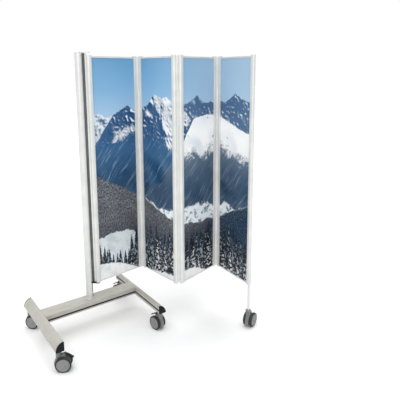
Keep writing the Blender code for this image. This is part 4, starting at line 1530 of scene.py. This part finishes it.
# ------------------------------------------------------------------ sections
@dataclass
class Section:
    """One section: a printed sheet between two upright profiles, with a rail above and below it."""

    number: int
    left_side: int  # which side of the left profile the fold lies on, or 0 where there is none
    right_side: int
    pitch: float = 0.298
    bottom: float = 0.250
    top: float = 1.455
    nose: float = 0.010
    body: float = 0.0115
    groove_half: float = 0.0023
    groove_depth: float = 0.004
    fold_at: tuple[float, float] = (0.01025, 0.011)
    knuckles: int = 7
    knuckle_radius: float = 0.004
    knuckle_gap: float = 0.0006
    end_margin: float = 0.006  # from the profile's ends to its first and last knuckle
    web_half: float = 0.0025
    web_root: float = 0.002  # how deep the webs stand in the nose
    sheet_margin: float = 0.008  # from the sheet's ends to the noses' centres
    end: Array = field(default_factory=lambda: np.zeros(3))

    def line(self) -> tuple[Array, Array, float]:
        """Measures the sheet.

        Returns:
            Its middle, its direction from the fold on its left, and its length.
        """
        mesh = frame["nodes"][f"section_{self.number}_sheet"].data
        points = np.empty(len(mesh.vertices) * 3)
        mesh.vertices.foreach_get("co", points)
        flat = points.reshape(-1, 3)[:, :2]
        middle = (flat.max(0) + flat.min(0)) / 2
        along = np.linalg.svd(flat - flat.mean(0), full_matrices=False)[2][0]
        name = f"section_{self.number}_fold"
        fold = next(joint["pos_m"] for joint in frame["joints"] if joint["name"] == name)
        if np.dot(middle - np.array(fold[:2]), along) < 0:
            along = -along
        reach = (flat - middle) @ along
        return middle, along, float(reach.max() - reach.min())

    def profile(self, side: int, rows: range) -> Solid:
        """An edge profile about its nose's centre, with the nose towards -X.

        Args:
            side: which side its fold lies on, 1 or -1, or 0 for none.
            rows: the knuckles that it carries.

        Returns:
            The profile and its knuckles.
        """
        nose, body, groove = self.nose, self.body, self.groove_half
        floor = body - self.groove_depth
        curve = arc((0, 0), nose, 90, 270, 25)
        corners = [*curve.tolist(), (body, -nose), (body, -groove), (floor, -groove), (floor, groove),
                   (body, groove), (body, nose)]
        radii = [0.0] * len(curve) + [0.0014, 0.0005, 0, 0, 0.0005, 0.0014]
        made = extruded(rounded(corners, radii), self.bottom, self.top, 0.0004)
        if not side:
            return made
        axis = np.array([-self.fold_at[0], side * self.fold_at[1]])
        way = axis / np.linalg.norm(axis)
        beside = np.array([-way[1], way[0]]) * self.web_half
        foot = way * (nose - self.web_root)
        web = np.array([foot - beside, axis - beside, axis + beside, foot + beside])
        low, gap = self.bottom + self.end_margin, self.knuckle_gap / 2
        step = (self.top - self.end_margin - low) / self.knuckles
        for row in rows:
            start, stop = low + row * step + gap, low + (row + 1) * step - gap
            made += disc(self.knuckle_radius, start, stop, 0.0004, 24, axis)
            made += extruded(web, start + THIN_RIM, stop - THIN_RIM, THIN_RIM)
        return made

    def build(self) -> None:
        """Dresses the sheet, the rails and the pin, and makes both profiles."""
        middle, along, length = self.line()
        bearing = math.atan2(along[1], along[0])
        name, reach = f"section_{self.number}", length / 2 + self.sheet_margin
        left, right = middle - along * reach, middle + along * reach
        self.end = right
        odd, even = range(1, self.knuckles, 2), range(0, self.knuckles, 2)
        rows = [("left", left, bearing, self.left_side, odd),
                ("right", right, bearing + math.pi, -self.right_side, even)]
        for word, spot, turn, side, carried in rows:
            shape = self.profile(side, carried).moved(on_bearing(spot[0], spot[1], turn))
            finish_piece(f"{name}_{word}_profile_finished", shape, name, SILVER,
                         [f"{name}_{word}_profile"])
        start = middle - along * length / 2
        offset = (self.number - 1) * self.pitch + (self.pitch - length) / 2
        origin = (float(start[0]), float(start[1]))
        sheet = Print(f"printed sheet {self.number}", origin, bearing, offset, self.bottom)
        dress(f"{name}_sheet", sheet.material())
        for rail in ("top_rail", "bottom_rail"):
            dress(f"{name}_{rail}", SILVER_FLAT.material())
        if self.right_side:
            dress(f"fold_pin_{self.number}", STEEL.material())


@dataclass
class EndSupport:
    """The rod under the last profile, which stands in the last caster."""

    radius: float = 0.006
    collar_radius: float = 0.0088
    collar_height: float = 0.004
    collar_edge: float = 0.0006

    def build(self, spot: Array) -> None:
        """The rod and its caster.

        Args:
            spot: where the rod stands, x and y.
        """
        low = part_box("end_stem")[0].z
        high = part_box("section_4_right_profile")[0].z - TOUCH
        outer, foot, soft = self.collar_radius, high - self.collar_height, self.collar_edge
        collar = turned([(0.0003, foot), (outer - soft, foot), (outer, foot + soft),
                         (outer, high - soft), (outer - soft, high), (0.0003, high)], 32)
        rod = disc(self.radius, low, high - 0.001, 0.0006, 40) + collar
        finish_piece("end_stem_finished", rod.raised(x=float(spot[0]), y=float(spot[1])), "section_4",
                     SILVER, ["end_stem"])
        Caster("end_caster", braked=False).build()


# ------------------------------------------------------------------ the studio
@dataclass
class Studio:
    """A pale floor, soft lights all round, and the camera."""

    lens: float = 39.45
    shift: float = -0.12
    stand: tuple[float, float, float] = (-0.8532, -2.1423, 1.37)  # seen from the pole's foot
    heading: float = 0.6441
    pitch: float = -0.1798
    surround: float = 0.62  # how bright the surroundings are for what they light
    overhead_power: float = 2.0
    overhead_angle: float = 70.0  # how wide the light from above is, in degrees
    floor_reach: float = 30.0
    floor_drop: float = 0.0002

    def floor(self) -> None:
        """A wide pale floor."""
        mesh = bpy.data.meshes.new("floor")
        reach = self.floor_reach
        corners = np.pad(oblong(-reach, -reach, reach, reach), ((0, 0), (0, 1)))
        mesh.from_pydata(corners.tolist(), [], [[0, 1, 2, 3]])
        made, graph, shader, place = new_material("pale floor")
        drift = graph.between(graph.noise(place, 3.0, 3.0), 0.3, 0.7)
        pale = graph.mix(drift, (0.90, 0.90, 0.90, 1), (0.92, 0.92, 0.92, 1))
        graph.fill(shader, {"Base Color": pale, "Roughness": 0.9, "Specular IOR Level": 0.1})
        mesh.materials.append(made)
        put("floor", mesh, (0, 0, -self.floor_drop))

    def light(self, name: str, place: Sequence[float], aim: Sequence[float], size: float,
              power: float) -> None:
        """A square soft light.

        Args:
            name: the light's name.
            place: where it hangs.
            aim: what it points at.
            size: the side of the square.
            power: its power, in watts.
        """
        lamp = bpy.data.lights.new(name, "AREA")
        lamp.shape, lamp.size, lamp.energy = "SQUARE", size, power
        turn = (Vector(aim) - Vector(place)).to_track_quat("-Z", "Y")
        put(name, lamp, place).rotation_euler = turn.to_euler()

    def overhead(self) -> None:
        """A soft light from straight above, which whitens the floor and the tops."""
        lamp = bpy.data.lights.new("overhead", "SUN")
        lamp.energy, lamp.angle = self.overhead_power, math.radians(self.overhead_angle)
        put("overhead", lamp, (0, 0, 4))

    def camera(self, x: float, y: float) -> None:
        """The camera, which stands off the pole's foot and looks a little down.

        Args:
            x: the pole's place.
            y: the same, in depth.
        """
        data = bpy.data.cameras.new("camera")
        data.lens, data.sensor_width, data.shift_y, data.clip_end = self.lens, 36.0, self.shift, 100.0
        level = math.cos(self.pitch)
        ahead = Vector((math.sin(self.heading) * level, math.cos(self.heading) * level,
                        math.sin(self.pitch)))
        right = ahead.cross(Vector((0, 0, 1))).normalized()
        up = right.cross(ahead)
        turn = Matrix((right, up, -ahead)).transposed().to_4x4()
        made = put("camera", data)
        made.matrix_world = Matrix.Translation(Vector((x, y, 0)) + Vector(self.stand)) @ turn
        bpy.context.scene.camera = made

    def build(self) -> None:
        """Sets the floor, the lights, the pale surroundings and the camera."""
        self.floor()
        world = bpy.data.worlds.new("pale surroundings")
        bpy.context.scene.world = world
        world.use_nodes = True
        graph = Graph(world.node_tree)
        seen = graph.add("LightPath").outputs["Is Camera Ray"]
        backdrop = world.node_tree.nodes["Background"]
        backdrop.inputs[0].default_value = (1.0, 1.0, 1.0, 1.0)
        strength = graph.scaled(seen, 1.0 - self.surround, self.surround)
        world.node_tree.links.new(strength, backdrop.inputs[1])
        self.overhead()
        self.light("key", (-2.2, -2.4, 2.4), (0, 0, 0.8), 1.8, 26)
        low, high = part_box("pole")
        self.camera((low.x + high.x) / 2, (low.y + high.y) / 2)
        bpy.context.scene.view_settings.view_transform = "Standard"


def main() -> None:
    """Builds the screen in order."""
    logging.basicConfig(level=logging.INFO, format="%(message)s")
    Base().build()
    Pole().build()
    for place in ("front_left", "front_right", "rear_left", "rear_right"):
        Caster(f"{place}_caster").build()
    sections = [Section(1, 0, -1), Section(2, -1, 1), Section(3, 1, -1), Section(4, -1, 0)]
    for section in sections:
        section.build()
    EndSupport().build(sections[-1].end)
    Studio().build()


if __name__ == "__main__":
    main()
